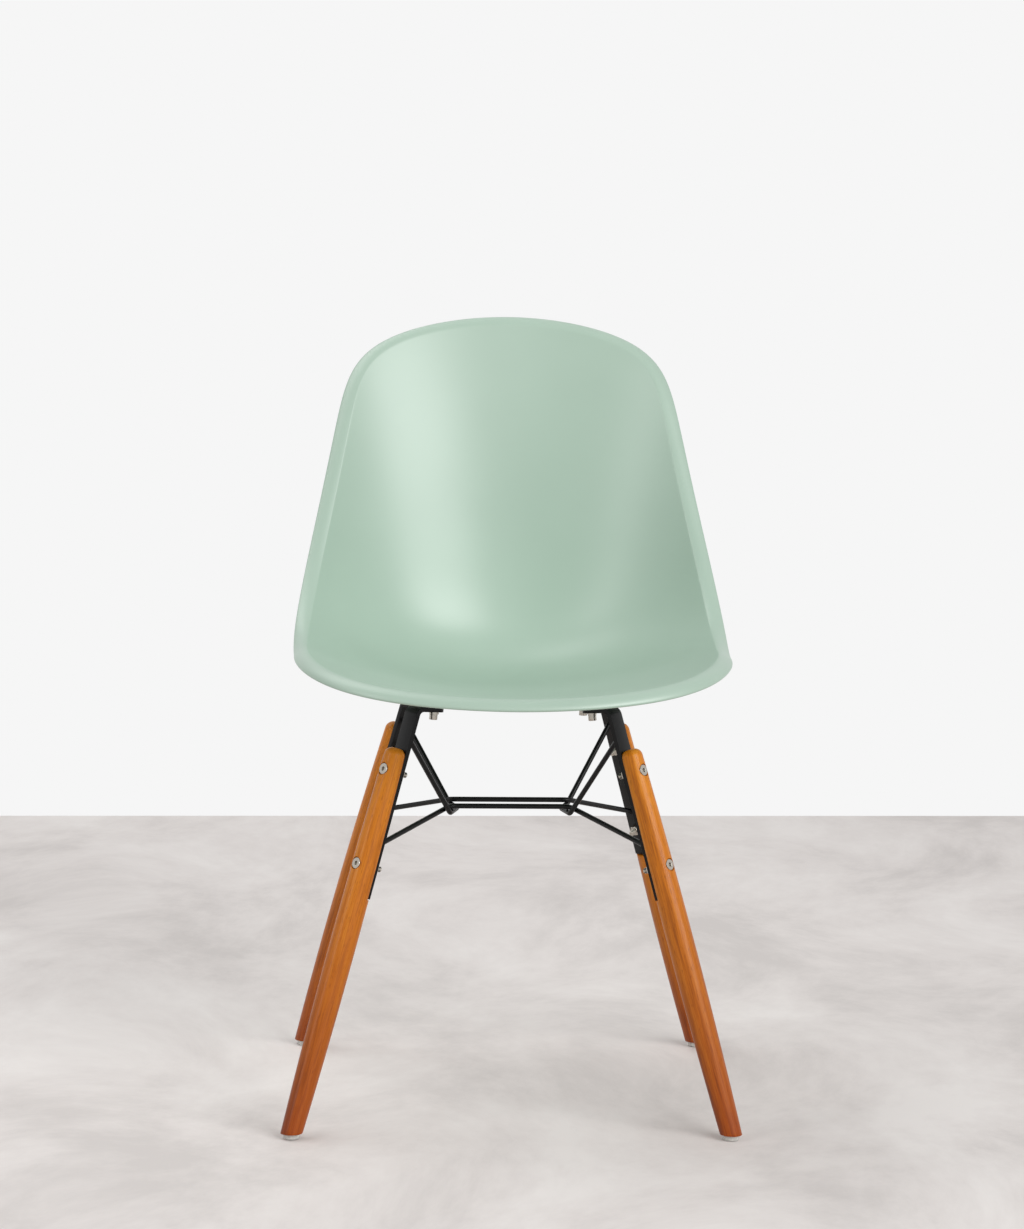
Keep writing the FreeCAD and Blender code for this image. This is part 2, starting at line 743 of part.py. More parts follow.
def write(name, shapes):
    solids = []
    for shape in shapes:
        solids += shape.Solids
    whole = solids[0] if len(solids) == 1 else Part.makeCompound(solids)
    whole.exportStep("parts/" + name + ".step")
    box = whole.BoundBox
    print(name, len(solids), whole.isValid(), round(whole.Volume), round(box.ZMin, 2), round(box.ZMax, 2))


def main():
    os.makedirs("parts", exist_ok=True)
    write("seat_shell", [make_shell()])
    for side, side_name in SIDES:
        for end, end_name in ENDS:
            place = end_name + "_" + side_name
            write("leg_" + place, [make_leg(side, end)])
            write("bracket_" + place, [make_bracket(side, end)])
            write("glide_" + place, [make_glide(side, end)])
        write("rod_side_" + side_name, [make_side_rod(side)])
    for end, end_name in ENDS:
        write("rod_lower_" + end_name, [make_lower_rod(end)])
    write("glide_pins", every_corner(glide_pin))
    write("leg_bolts", [screw for pair in every_corner(leg_screws) for screw in pair])
    write("leg_nuts", [nut for pair in every_corner(leg_nuts) for nut in pair])
    write("seat_bolts", every_corner(seat_screw))
    write("seat_washers", every_corner(seat_washer))
    write("seat_lock_washers", every_corner(seat_lock_washer))
    write("seat_pads", every_corner(seat_pad))
    write("seat_inserts", every_corner(seat_insert))


main()
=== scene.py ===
import bpy
import math
import bmesh
import numpy as np
from mathutils import Matrix, Quaternion, Vector
from mathutils.bvhtree import BVHTree


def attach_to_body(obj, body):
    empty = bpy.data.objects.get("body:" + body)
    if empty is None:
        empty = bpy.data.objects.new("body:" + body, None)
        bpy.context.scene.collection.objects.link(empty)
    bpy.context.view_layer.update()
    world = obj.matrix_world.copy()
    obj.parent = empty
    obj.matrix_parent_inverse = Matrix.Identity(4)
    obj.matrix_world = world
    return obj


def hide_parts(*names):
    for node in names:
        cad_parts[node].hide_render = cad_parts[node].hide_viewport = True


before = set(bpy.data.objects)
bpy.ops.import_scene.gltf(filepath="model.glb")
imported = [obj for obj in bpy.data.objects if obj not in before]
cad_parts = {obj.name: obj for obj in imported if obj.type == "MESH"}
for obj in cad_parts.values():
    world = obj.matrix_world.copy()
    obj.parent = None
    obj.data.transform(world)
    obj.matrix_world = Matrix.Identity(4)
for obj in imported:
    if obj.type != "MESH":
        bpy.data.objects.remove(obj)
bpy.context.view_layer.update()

# Moulded plastic shell chair: the shell, turned wooden legs, bent steel brackets, a welded wire
# brace and their fasteners, on the frame that the CAD gives. Sizes are in millimetres unless a
# comment says metres, and one factor brings them to metres.
MM = 0.001
scene = bpy.context.scene

SIDES = ((1, "right"), (-1, "left"))
ENDS = ((-1, "front"), (1, "rear"))

# A corner of the chair: its signs of x and y, and its name
CORNERS = {(side, end): end_name + "_" + side_name
           for side, side_name in SIDES for end, end_name in ENDS}


# Colours and node trees

def srgb(code):
    """An sRGB hex colour as linear red, green, blue and alpha."""
    parts = [int(code[i:i + 2], 16) / 255 for i in (1, 3, 5)]
    linear = [c / 12.92 if c <= 0.04045 else ((c + 0.055) / 1.055) ** 2.4 for c in parts]
    return (*linear, 1.0)


def add(tree, kind, sockets=None, stops=(), **settings):
    """Adds a node with its settings. Each socket gets a value, or a link from an output or from a
    node's first output, and a colour ramp gets its (place, colour) stops."""
    node = tree.nodes.new(kind)
    for name, value in settings.items():
        setattr(node, name, value)
    for name, value in (sockets or {}).items():
        if isinstance(value, bpy.types.Node):
            value = value.outputs[0]
        if isinstance(value, bpy.types.NodeSocket):
            tree.links.new(value, node.inputs[name])
        else:
            node.inputs[name].default_value = value
    for k, (place, colour) in enumerate(stops):
        element = node.color_ramp.elements[k] if k < 2 else node.color_ramp.elements.new(place)
        element.position = place
        element.color = srgb(colour)
    return node


def per_mm(size):
    """Scale of a pattern whose features are that many millimetres across."""
    return 1 / (size * MM)


def material_of(name, look):
    """A material with a principled shader whose sockets a look fills in, given the node tree."""
    material = bpy.data.materials.new(name)
    material.use_nodes = True
    tree = material.node_tree
    tree.nodes.clear()
    shader = add(tree, "ShaderNodeBsdfPrincipled", look(tree))
    add(tree, "ShaderNodeOutputMaterial", {"Surface": shader})
    return material


# Materials

def surface(tree, tint, stops, grain, dull, relief=None):
    """Shader sockets with a colour ramp over a tint noise and a roughness range over a grain
    noise, which a relief of (depth in millimetres, strength) also turns into a bump."""
    sockets = {
        "Base Color": add(tree, "ShaderNodeValToRGB", {"Fac": tint}, stops=stops),
        "Roughness": add(tree, "ShaderNodeMapRange", {
            "Value": grain, "To Min": dull[0], "To Max": dull[1]})}
    if relief:
        sockets["Normal"] = add(tree, "ShaderNodeBump", {
            "Height": grain, "Distance": relief[0] * MM, "Strength": relief[1]})
    return sockets


def moulded_polypropylene(tree):
    """Sage green polypropylene, injection moulded in a fine eroded mould: satin, with a soft broad
    sheen, a hardly visible grain and slight clouds where the melt flowed."""
    place = add(tree, "ShaderNodeTexCoord").outputs["Object"]
    flow = add(tree, "ShaderNodeTexNoise", {"Vector": place, "Scale": per_mm(160), "Detail": 2.0})
    grain = add(tree, "ShaderNodeTexNoise", {"Vector": place, "Scale": per_mm(1.1), "Detail": 3.0})
    look = surface(tree, flow, ((0.3, "#A3BAAA"), (0.7, "#A8BFAF")), grain, (0.35, 0.43),
                   (0.02, 0.5))
    return look | {"IOR": 1.5, "Specular IOR Level": 0.85}


def stained_beech(tree):
    """Turned beech, stained walnut and lacquered satin: golden orange brown, with the upper part
    made lighter as a painted highlight of the light that falls there, and red brown darker towards
    the foot; long fine fibres with short dark flecks, a thin clear coat over them."""
    along = add(tree, "ShaderNodeAttribute", attribute_name="grain").outputs["Vector"]
    long = add(tree, "ShaderNodeMapping", {"Vector": along, "Scale": (1.0, 1.0, 0.035)})
    short = add(tree, "ShaderNodeMapping", {"Vector": along, "Scale": (1.0, 1.0, 0.12)})
    broad = add(tree, "ShaderNodeTexNoise", {"Vector": long, "Scale": per_mm(9), "Detail": 4.0})
    fibre = add(tree, "ShaderNodeTexNoise", {"Vector": long, "Scale": per_mm(1.3), "Detail": 5.0})
    fleck = add(tree, "ShaderNodeTexNoise", {"Vector": short, "Scale": per_mm(0.9), "Detail": 1.0})
    height = add(tree, "ShaderNodeAttribute", attribute_name="up_the_leg").outputs["Fac"]
    both = add(tree, "ShaderNodeMix", {0: 0.4, 2: broad, 3: fibre})
    # The upper ramp is lighter than the lower one. This is a painted highlight for the light on the
    # legs' upper part, mixed into the stain's real colour. The lower ramp makes the leg darker
    # towards the foot.
    upper = add(tree, "ShaderNodeValToRGB", {"Fac": both},
                stops=((0.34, "#AA5E0A"), (0.5, "#D47E16"), (0.66, "#E29430")))
    lower = add(tree, "ShaderNodeValToRGB", {"Fac": both},
                stops=((0.34, "#6A2802"), (0.5, "#924006"), (0.66, "#A6520E")))
    stain_and_painted_highlight = add(tree, "ShaderNodeMix", {0: height, 6: lower, 7: upper}, data_type="RGBA")
    share = add(tree, "ShaderNodeMapRange", {
        "Value": fleck, "From Min": 0.6, "From Max": 0.72, "To Max": 0.4})
    colour = add(tree, "ShaderNodeMix", {0: share, 6: stain_and_painted_highlight.outputs[2], 7: srgb("#6E2E0A")},
                 data_type="RGBA")
    satin = add(tree, "ShaderNodeMapRange", {"Value": fibre, "To Min": 0.36, "To Max": 0.5})
    pores = add(tree, "ShaderNodeBump", {
        "Height": fibre, "Distance": 0.03 * MM, "Strength": 0.3})
    return {"Base Color": colour.outputs[2], "Roughness": satin, "Normal": pores, "IOR": 1.5,
            "Specular IOR Level": 0.2, "Coat Weight": 0.14, "Coat Roughness": 0.12}


def black_powder_coat(tree):
    """Steel under black satin powder coat: a very fine orange peel that spreads the highlights."""
    place = add(tree, "ShaderNodeTexCoord").outputs["Object"]
    cloud = add(tree, "ShaderNodeTexNoise", {"Vector": place, "Scale": per_mm(30), "Detail": 2.0})
    peel = add(tree, "ShaderNodeTexNoise", {"Vector": place, "Scale": per_mm(0.7), "Detail": 2.0})
    look = surface(tree, cloud, ((0.3, "#040405"), (0.7, "#070708")), peel, (0.26, 0.38),
                   (0.02, 0.4))
    return look | {"IOR": 1.5, "Specular IOR Level": 0.22}


def nickel_plate(tree):
    """Steel screws plated with nickel: a bright, slightly warm metal with fine turning marks."""
    place = add(tree, "ShaderNodeTexCoord").outputs["Object"]
    marks = add(tree, "ShaderNodeTexNoise", {"Vector": place, "Scale": per_mm(0.8), "Detail": 3.0})
    look = surface(tree, marks, ((0.3, "#A8A299"), (0.7, "#C0BAB0")), marks, (0.2, 0.34))
    return look | {"Metallic": 1.0}


def milky_nylon(tree):
    """Glides of natural nylon: pale, milky and slightly glossy, with scuffs from the floor."""
    place = add(tree, "ShaderNodeTexCoord").outputs["Object"]
    scuff = add(tree, "ShaderNodeTexNoise", {"Vector": place, "Scale": per_mm(2.5), "Detail": 4.0})
    look = surface(tree, scuff, ((0.35, "#C9C7C1"), (0.65, "#DEDDD8")), scuff, (0.28, 0.45))
    return look | {"IOR": 1.53, "Transmission Weight": 0.25}


def black_rubber(tree):
    """Rubber pads: dull black with a fine moulded grain."""
    place = add(tree, "ShaderNodeTexCoord").outputs["Object"]
    grain = add(tree, "ShaderNodeTexNoise", {"Vector": place, "Scale": per_mm(0.9), "Detail": 3.0})
    look = surface(tree, grain, ((0.3, "#171717"), (0.7, "#202020")), grain, (0.7, 0.85),
                   (0.05, 0.6))
    return look | {"IOR": 1.52}


def turned_brass(tree):
    """Threaded inserts of turned brass: yellow metal with fine machining marks."""
    place = add(tree, "ShaderNodeTexCoord").outputs["Object"]
    marks = add(tree, "ShaderNodeTexNoise", {"Vector": place, "Scale": per_mm(0.6), "Detail": 3.0})
    look = surface(tree, marks, ((0.3, "#B08D45"), (0.7, "#C8A65C")), marks, (0.25, 0.4))
    return look | {"Metallic": 1.0}


def pale_concrete(tree):
    """Pale smoothed concrete floor, faintly clouded, that takes the chair's soft shadow."""
    place = add(tree, "ShaderNodeTexCoord").outputs["Object"]
    drawn = add(tree, "ShaderNodeMapping", {"Vector": place, "Scale": (1.0, 0.6, 1.0)})
    cloud = add(tree, "ShaderNodeTexNoise", {
        "Vector": drawn, "Scale": per_mm(300), "Detail": 10.0, "Roughness": 0.68,
        "Distortion": 0.4})
    stops = ((0.37, "#D8D2CF"), (0.5, "#E8E2DF"), (0.63, "#F2EDEA"))
    return surface(tree, cloud, stops, cloud, (0.6, 0.75)) | {"IOR": 1.45}


PLASTIC = material_of("shell_moulded_polypropylene", moulded_polypropylene)
WOOD = material_of("leg_stained_beech", stained_beech)
STEEL = material_of("steel_black_powder_coat", black_powder_coat)
NICKEL = material_of("fastener_nickel_plate", nickel_plate)
NYLON = material_of("glide_milky_nylon", milky_nylon)
RUBBER = material_of("pad_black_rubber", black_rubber)
BRASS = material_of("insert_turned_brass", turned_brass)
CONCRETE = material_of("floor_pale_concrete", pale_concrete)


# Making pieces

def linked(name, data):
    """A new object in the scene, at the origin."""
    thing = bpy.data.objects.new(name, data)
    scene.collection.objects.link(thing)
    return thing


def mesh_piece(name, points, faces, material):
    """A smoothly shaded piece at the origin from points in metres."""
    mesh = bpy.data.meshes.new(name)
    mesh.from_pydata([tuple(p) for p in points], [], faces)
    mesh.update()
    mesh.shade_smooth()
    mesh.materials.append(material)
    return linked(name, mesh)


def applied(maker, name):
    """The maker's evaluated shape as a plain piece at the origin. The maker is removed."""
    bpy.context.view_layer.update()
    graph = bpy.context.evaluated_depsgraph_get()
    mesh = bpy.data.meshes.new_from_object(maker.evaluated_get(graph), depsgraph=graph)
    mesh.transform(maker.matrix_world)
    mesh.name = name
    bpy.data.objects.remove(maker)
    return linked(name, mesh)


def hand_over(piece, node):
    """Gives a finished piece its body and hides the CAD node it stands for."""
    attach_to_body(piece, "root")
    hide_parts(node)


def new_tree(name, inputs):
    """A geometry tree with a geometry input and output and named inputs: (name, kind, value)."""
    tree = bpy.data.node_groups.new(name, "GeometryNodeTree")
    face = tree.interface
    face.new_socket("Geometry", in_out="INPUT", socket_type="NodeSocketGeometry")
    for label, kind, value in inputs:
        socket = face.new_socket(label, in_out="INPUT", socket_type="NodeSocket" + kind)
        if value is not None:
            socket.default_value = value
    face.new_socket("Geometry", in_out="OUTPUT", socket_type="NodeSocketGeometry")
    return tree, add(tree, "NodeGroupInput").outputs


def end_tree(tree, shape, material):
    """Ends a tree in Realize Instances and Set Material."""
    real = add(tree, "GeometryNodeRealizeInstances", {"Geometry": shape})
    done = add(tree, "GeometryNodeSetMaterial", {"Geometry": real, "Material": material})
    add(tree, "NodeGroupOutput", {"Geometry": done})


def grown(maker, tree, name, **values):
    """A maker object's shape after a geometry tree, with the tree's inputs set by name."""
    modifier = maker.modifiers.new("grow", "NODES")
    modifier.node_group = tree
    for item in tree.interface.items_tree:
        key = item.name.replace(" ", "_")
        if key in values:
            modifier[item.identifier] = values[key]
    return applied(maker, name)


def attach(mesh, name, values):
    """Gives each point of a mesh a number or a vector that trees and materials can read."""
    values = np.asarray(values, float)
    kind, field = ("FLOAT_VECTOR", "vector") if values.ndim == 2 else ("FLOAT", "value")
    mesh.attributes.new(name, kind, "POINT").data.foreach_set(field, values.ravel())


def maker_of(points, in_a_row=False, **attributes):
    """An object of points in metres, loose or joined in a row, for a geometry tree to work on."""
    mesh = bpy.data.meshes.new("maker")
    edges = [(i, i + 1) for i in range(len(points) - 1)] if in_a_row else []
    mesh.from_pydata([tuple(p) for p in points], edges, [])
    for name, values in attributes.items():
        attach(mesh, name, values)
    return linked("maker", mesh)


# The shell

SHELL_WIDTH = 463.0
SHELL_DEPTH = 537.0
SHELL_HEIGHT = 360.0
LIP_Z = 460.0
SHELL_Y = 0.4
WALL = 4.5
RIM_SIDE = 15.7
RIM_FRONT = 20.8
RIM_CREASE = math.radians(26.0)
RIM_TURN_SIDE = math.radians(73.0)
RIM_TURN_FRONT = math.radians(83.0)
RIM_NOSE = 1.8
BOWL_POWER_SEAT = 1.95
BOWL_POWER_BACK = 2.3

# Guides of the bowl from the front lip to the top: (y, z) of its middle and of its sides, as
# shares of depth and height, and its half width as a share of the width.
MIDDLE_LINE = (
    (-0.510, 0.046), (-0.440, 0.016), (-0.305, -0.014), (-0.137, -0.036), (0.068, -0.063),
    (0.235, -0.080), (0.334, 0.006), (0.368, 0.250), (0.400, 0.500), (0.433, 0.736),
    (0.463, 0.917), (0.491, 1.083),
)
SIDE_LINE = (
    (-0.485, 0.096), (-0.422, 0.096), (-0.295, 0.096), (-0.165, 0.096), (-0.038, 0.081),
    (0.081, 0.122), (0.167, 0.255), (0.241, 0.436), (0.312, 0.633), (0.376, 0.828),
    (0.428, 0.978), (0.468, 1.110),
)
HALF_WIDTH = (0.433, 0.458, 0.462, 0.466, 0.470, 0.466, 0.446, 0.416, 0.385, 0.359, 0.348, 0.348)
FLOOR_ROUND = 0.0004        # keeps the middle of the bowl rounded

# The crease between bowl and rim, as a loop in across (-1 to 1) and s (0 at the lip, 1 at the top)
CREASE_FRONT = 0.022
CREASE_MIDDLE = 0.470
CREASE_TOP = 0.9742
FRONT_CORNER = (2.65, 7.1)
TOP_CORNER = (2.07, 14.2)
CREASE_SAMPLES = 4000
FRONT_RIM_ENDS = 0.30       # up to this s the front's deeper rim blends into the side rim
FRONT_RIM_BLEND = 0.25
CREASE_FADES = 0.86         # from this s on the crease fades out towards the top of the back
CREASE_FADE = 0.10
CREASE_BEND = 1.5           # length over which the wall bends at the crease
UNDER_START = 3.4           # the under side's hollow corner begins this far inside the crease

# The rim's section is followed in steps, and some of them give rings on its upper and under side.
RIM_STEPS = 240
UPPER_RINGS = (6, 12, 18, 24, 30, 60, 90, 120, 150, 180, 210, 240)
UNDER_RINGS = (200, 160, 120, 80, 56)
NOSE_TURNS = np.radians((65, 40, 15, -15, -40, -65, -90))
GRID_ACROSS = 100
GRID_ALONG = 132


def guided(points, shares):
    """Clamped cubic spline with even knots that the points guide, read at many shares."""
    points = np.asarray(points, float).reshape(len(points), -1)
    spans = len(points) - 3
    knots = np.concatenate([[0.0] * 3, np.linspace(0, 1, spans + 1), [1.0] * 3])
    shares = np.clip(shares, 0.0, 1.0)
    span = np.minimum((shares * spans).astype(int), spans - 1) + 3
    row = [points[span - 3 + i] for i in range(4)]
    for level in range(1, 4):
        for i in range(3, level - 1, -1):
            left = knots[span - 3 + i]
            right = knots[span + 1 + i - level]
            part = ((shares - left) / (right - left))[..., None]
            row[i] = (1 - part) * row[i - 1] + part * row[i]
    return row[3]


def bowl(across, s):
    """Points of the bowl's upper surface, in millimetres."""
    low = guided(MIDDLE_LINE, s)
    high = guided(SIDE_LINE, s)
    power = BOWL_POWER_SEAT + (BOWL_POWER_BACK - BOWL_POWER_SEAT) * s
    lift = ((across * across + FLOOR_ROUND) ** (power / 2))[..., None]
    line = low + (high - low) * lift
    width = guided(HALF_WIDTH, s)[..., 0]
    return np.stack([across * width * SHELL_WIDTH, SHELL_Y + SHELL_DEPTH * line[..., 0],
                     LIP_Z + SHELL_HEIGHT * line[..., 1]], axis=-1)


def unit(vectors):
    return vectors / np.linalg.norm(vectors, axis=-1, keepdims=True)


def bowl_slopes(across, s):
    """How the bowl's points move with across and with s."""
    step = 0.002
    low = np.maximum(s - step, 0.0)
    high = np.minimum(s + step, 1.0)
    by_across = (bowl(across + step, s) - bowl(across - step, s)) / (2 * step)
    by_s = (bowl(across, high) - bowl(across, low)) / (high - low)[..., None]
    return by_across, by_s


def bowl_normal(across, s):
    by_across, by_s = bowl_slopes(across, s)
    return unit(np.cross(by_across, by_s))


def crease(angle):
    """Across and s on the crease, by an angle from 0 at the right hip to a quarter turn at the
    middle of the top."""
    c, s = np.cos(angle), np.sin(angle)
    top = s >= 0
    wide = np.where(top, TOP_CORNER[0], FRONT_CORNER[0])
    tall = np.where(top, TOP_CORNER[1], FRONT_CORNER[1])
    span = np.where(top, CREASE_TOP - CREASE_MIDDLE, CREASE_MIDDLE - CREASE_FRONT)
    across = np.sign(c) * np.abs(c) ** (2 / wide)
    return across, CREASE_MIDDLE + np.sign(s) * np.abs(s) ** (2 / tall) * span


def crease_side(start, end, count):
    """Evenly spaced places on the crease between two angles, without the last one."""
    angles = np.linspace(start, end, CREASE_SAMPLES)
    across, s = crease(angles)
    steps = np.linalg.norm(np.diff(bowl(across, s), axis=0), axis=1)
    run = np.concatenate([[0.0], np.cumsum(steps)])
    wanted = np.linspace(0, run[-1], count + 1)[:-1]
    return np.stack([np.interp(wanted, run, across), np.interp(wanted, run, s)], axis=-1)


def corner_angle(start, end):
    """The angle at which a corner of the crease turns by half."""
    angles = np.linspace(start, end, CREASE_SAMPLES // 2)
    across, s = crease(angles)
    return angles[np.argmax(np.abs(across) + np.abs(s - CREASE_MIDDLE) / CREASE_MIDDLE)]


def fill_grid(loop):
    """Places inside a loop of four sides, blended from its sides: an array along by across."""
    a, b = GRID_ACROSS, GRID_ALONG
    closed = np.concatenate([loop, loop[:1]])
    front = closed[:a + 1]
    right = closed[a:a + b + 1]
    top = closed[a + b:2 * a + b + 1][::-1]
    left = closed[2 * a + b:][::-1]
    u = np.linspace(0, 1, a + 1)[None, :, None]
    v = np.linspace(0, 1, b + 1)[:, None, None]
    sides = (1 - v) * front[None] + v * top[None] + (1 - u) * left[:, None] + u * right[:, None]
    corners = ((1 - u) * (1 - v) * front[0] + u * (1 - v) * front[-1]
               + (1 - u) * v * top[0] + u * v * top[-1])
    return sides - corners


def grid_faces(first, up):
    """Faces of a grid whose points begin at an index, and the indices round its edge."""
    a, b = GRID_ACROSS, GRID_ALONG
    faces = []
    for j in range(b):
        for i in range(a):
            p = first + j * (a + 1) + i
            face = (p, p + 1, p + a + 2, p + a + 1)
            faces.append(face if up else face[::-1])
    last_row = first + b * (a + 1)
    edge = [first + i for i in range(a)] + [first + a + j * (a + 1) for j in range(b)]
    edge += [last_row + i for i in range(a, 0, -1)] + [first + j * (a + 1) for j in range(b, 0, -1)]
    return faces, edge


def smooth_step(values):
    values = np.clip(values, 0.0, 1.0)
    return values * values * (3 - 2 * values)


def pulled_in(places, outward, distance):
    """Crease places moved into the bowl by a distance in millimetres."""
    by_across, by_s = bowl_slopes(places[:, 0], places[:, 1])
    aa = (by_across * by_across).sum(-1)
    ss = (by_s * by_s).sum(-1)
    cross = (by_across * by_s).sum(-1)
    ra = (by_across * outward).sum(-1) * -distance
    rs = (by_s * outward).sum(-1) * -distance
    det = aa * ss - cross * cross
    moved = np.stack([(ra * ss - rs * cross) / det, (rs * aa - ra * cross) / det], axis=-1)
    return places + moved


def shell_mesh():
    """Points and faces of the bowl, its rolled rim and its under side, in millimetres."""
    a, b = GRID_ACROSS, GRID_ALONG
    front_corner = corner_angle(-math.pi / 2, 0)
    top_corner = corner_angle(0, math.pi / 2)
    turns = (math.pi - front_corner - 2 * math.pi, front_corner, top_corner,
             math.pi - top_corner, math.pi - front_corner)
    loop = np.concatenate([crease_side(turns[k], turns[k + 1], (a, b)[k % 2]) for k in range(4)])
    edge_points = bowl(loop[:, 0], loop[:, 1])
    normal = bowl_normal(loop[:, 0], loop[:, 1])
    ahead = np.roll(edge_points, -1, axis=0) - np.roll(edge_points, 1, axis=0)
    outward = unit(np.cross(ahead, normal))
    front = smooth_step((FRONT_RIM_ENDS - loop[:, 1]) / FRONT_RIM_BLEND)
    width = (RIM_SIDE + (RIM_FRONT - RIM_SIDE) * front)[:, None]
    faded = smooth_step((loop[:, 1] - CREASE_FADES) / CREASE_FADE)
    first = (RIM_CREASE * (1 - front) * (1 - faded))[:, None]
    last = (RIM_TURN_SIDE + (RIM_TURN_FRONT - RIM_TURN_SIDE) * front)[:, None]

    upper = pulled_in(loop, outward, CREASE_BEND / 2)
    lower = pulled_in(loop, outward, UNDER_START)
    upper_grid = fill_grid(upper)
    lower_grid = fill_grid(lower)
    upper_points = bowl(upper_grid[..., 0], upper_grid[..., 1])
    lower_points = (bowl(lower_grid[..., 0], lower_grid[..., 1])
                    - WALL * bowl_normal(lower_grid[..., 0], lower_grid[..., 1]))
    points = [upper_points.reshape(-1, 3)]
    faces, edge = grid_faces(0, True)

    # Rings over the crease, round the rim, over its rounded edge and back under it.
    def angle_at(run):
        bend = np.clip(run / CREASE_BEND, 0.0, 1.0)
        return first * bend + (last - first) * np.clip((run - CREASE_BEND / 2) / width, 0.0, 1.0)

    whole = width + CREASE_BEND / 2
    place = bowl(upper[:, 0], upper[:, 1])
    track = [(place, first * 0.0)]
    for k in range(RIM_STEPS):
        angle = angle_at(whole * (k + 0.5) / RIM_STEPS)
        place = place + (outward * np.cos(angle) - normal * np.sin(angle)) * whole / RIM_STEPS
        track.append((place, angle_at(whole * (k + 1) / RIM_STEPS)))
    rings = [track[k][0] for k in UPPER_RINGS]
    place, angle = track[-1]
    heading = outward * np.cos(angle) - normal * np.sin(angle)
    facing = normal * np.cos(angle) + outward * np.sin(angle)
    centre = place - facing * WALL / 2
    for turn in NOSE_TURNS:
        nose = facing * WALL / 2 * math.sin(turn) + heading * RIM_NOSE * math.cos(turn)
        rings.append(centre + nose)
    for k in UNDER_RINGS:
        place, angle = track[k]
        facing = normal * np.cos(angle) + outward * np.sin(angle)
        rings.append(place - facing * WALL)
    total = len(points[0])
    count = len(loop)
    previous = edge
    for ring in rings:
        current = list(range(total, total + count))
        faces += [(previous[k - 1], current[k - 1], current[k], previous[k]) for k in range(count)]
        points.append(ring)
        total += count
        previous = current
    under, edge = grid_faces(total, False)
    faces += under
    faces += [(previous[k - 1], edge[k - 1], edge[k], previous[k]) for k in range(count)]
    points.append(lower_points.reshape(-1, 3))
    return np.concatenate(points), faces


# The base. A leg's own frame has z up the leg from its foot, and x outward.

FRONT_FOOT = (228.0, 199.0)     # x and y on the chair
FRONT_TOP = (122.0, 116.0)
LEG_TOP_Z = 396.3
REAR_FOOT = (221.5, 208.5)
REAR_TOP_X = 120.7
REAR_TOP_DROP = 8.1
LEG_DIA_FOOT = 22.4
LEG_DIA_BELLY = 27.8
LEG_DIA_TOP = 22.6
BELLY_SHARE = 0.46
LEG_TOP_ROUND = 8.0
LEG_FLAT = 6.0
GLIDE_HEIGHT = 6.0
BAR_WIDTH = 20.0
BAR_THICK = 5.0
BAR_BEND = 5.0
BAR_LOW = 159.5             # from the leg's upper end down to the bar's lower end
MOUNT_X = 82.8
REAR_MOUNT_X = 80.5
FRONT_TAB_TOP_Z = 435.4
REAR_TAB_DROP = 15.2
FRONT_TAB_TILT = math.radians(6.5)
REAR_TAB_TILT = math.radians(-4.5)
LEG_BOLT_DIA = 6.0
LEG_HEAD = (12.0, 4.0)
LEG_BOLT_TOP = 24.5         # down from the leg's upper end
LEG_BOLT_LOW = 126.5
COUNTERBORE_DIA = 13.6
HEAD_RECESS = 1.2
NUT_ACROSS = 10.0
NUT_HEIGHT = 5.0
BOLT_END = 6.0
SEAT_BOLT_DIA = 5.0
SEAT_HEAD = (8.6, 5.4)
SOCKET_ACROSS = 4.0
SOCKET_DEPTH = 2.4
WASHER_THICK = 1.6
LOCK_WASHER_THICK = 1.8
PAD_THICK = 3.0
BOLT_IN_INSERT = 10.0
ROD_DIA = 5.5
NODE = (64.0, 20.0, 317.5)  # a lower rod's bend
DIP_Y = 30.0                # a side rod's lower bends
DIP_IN = 8.0
ROD_BEND = 12.0
TIP_BEND = 7.0
ROD_WELD_DROP = 100.3
FRONT_ROD_WELD_RISE = 10.2
REAR_ROD_WELD_RISE = 4.8
WELD_GAP = 0.2              # between crossing rods

LEG_LENGTH = math.dist((*FRONT_FOOT, GLIDE_HEIGHT), (*FRONT_TOP, LEG_TOP_Z))
BAR_FOOT = LEG_LENGTH - BAR_LOW
LEG_BOLTS = (LEG_LENGTH - LEG_BOLT_LOW, LEG_LENGTH - LEG_BOLT_TOP)


def foot_and_top(side, end):
    """Middles of a leg's lower and upper ends. All legs have the front legs' length."""
    if end < 0:
        foot = Vector((*FRONT_FOOT, GLIDE_HEIGHT))
        top = Vector((*FRONT_TOP, LEG_TOP_Z))
    else:
        foot = Vector((*REAR_FOOT, GLIDE_HEIGHT))
        top = Vector((REAR_TOP_X, 0.0, LEG_TOP_Z - REAR_TOP_DROP))
        rest = LEG_LENGTH ** 2 - (foot.x - top.x) ** 2 - (foot.z - top.z) ** 2
        top.y = foot.y - math.sqrt(rest)
    turn = Vector((side, end, 1))
    return foot * turn, top * turn


def lean_of_leg(end):
    """Sine and cosine of a leg's lean."""
    foot, top = foot_and_top(1, end)
    return math.hypot(foot.x - top.x, foot.y - top.y) / LEG_LENGTH, (top.z - foot.z) / LEG_LENGTH


def frame_of(origin, x_axis, z_axis):
    """A frame in metres from an origin in millimetres and two unit vectors."""
    y_axis = z_axis.cross(x_axis)
    turn = Matrix((x_axis, y_axis, z_axis)).transposed().to_4x4()
    return Matrix.Translation(origin * MM) @ turn


def leg_frame(side, end):
    foot, top = foot_and_top(side, end)
    lean_sin, lean_cos = lean_of_leg(end)
    level = Vector((foot.x - top.x, foot.y - top.y, 0)).normalized()
    outward = level * lean_cos + Vector((0, 0, lean_sin))
    return frame_of(foot, outward, (top - foot).normalized())


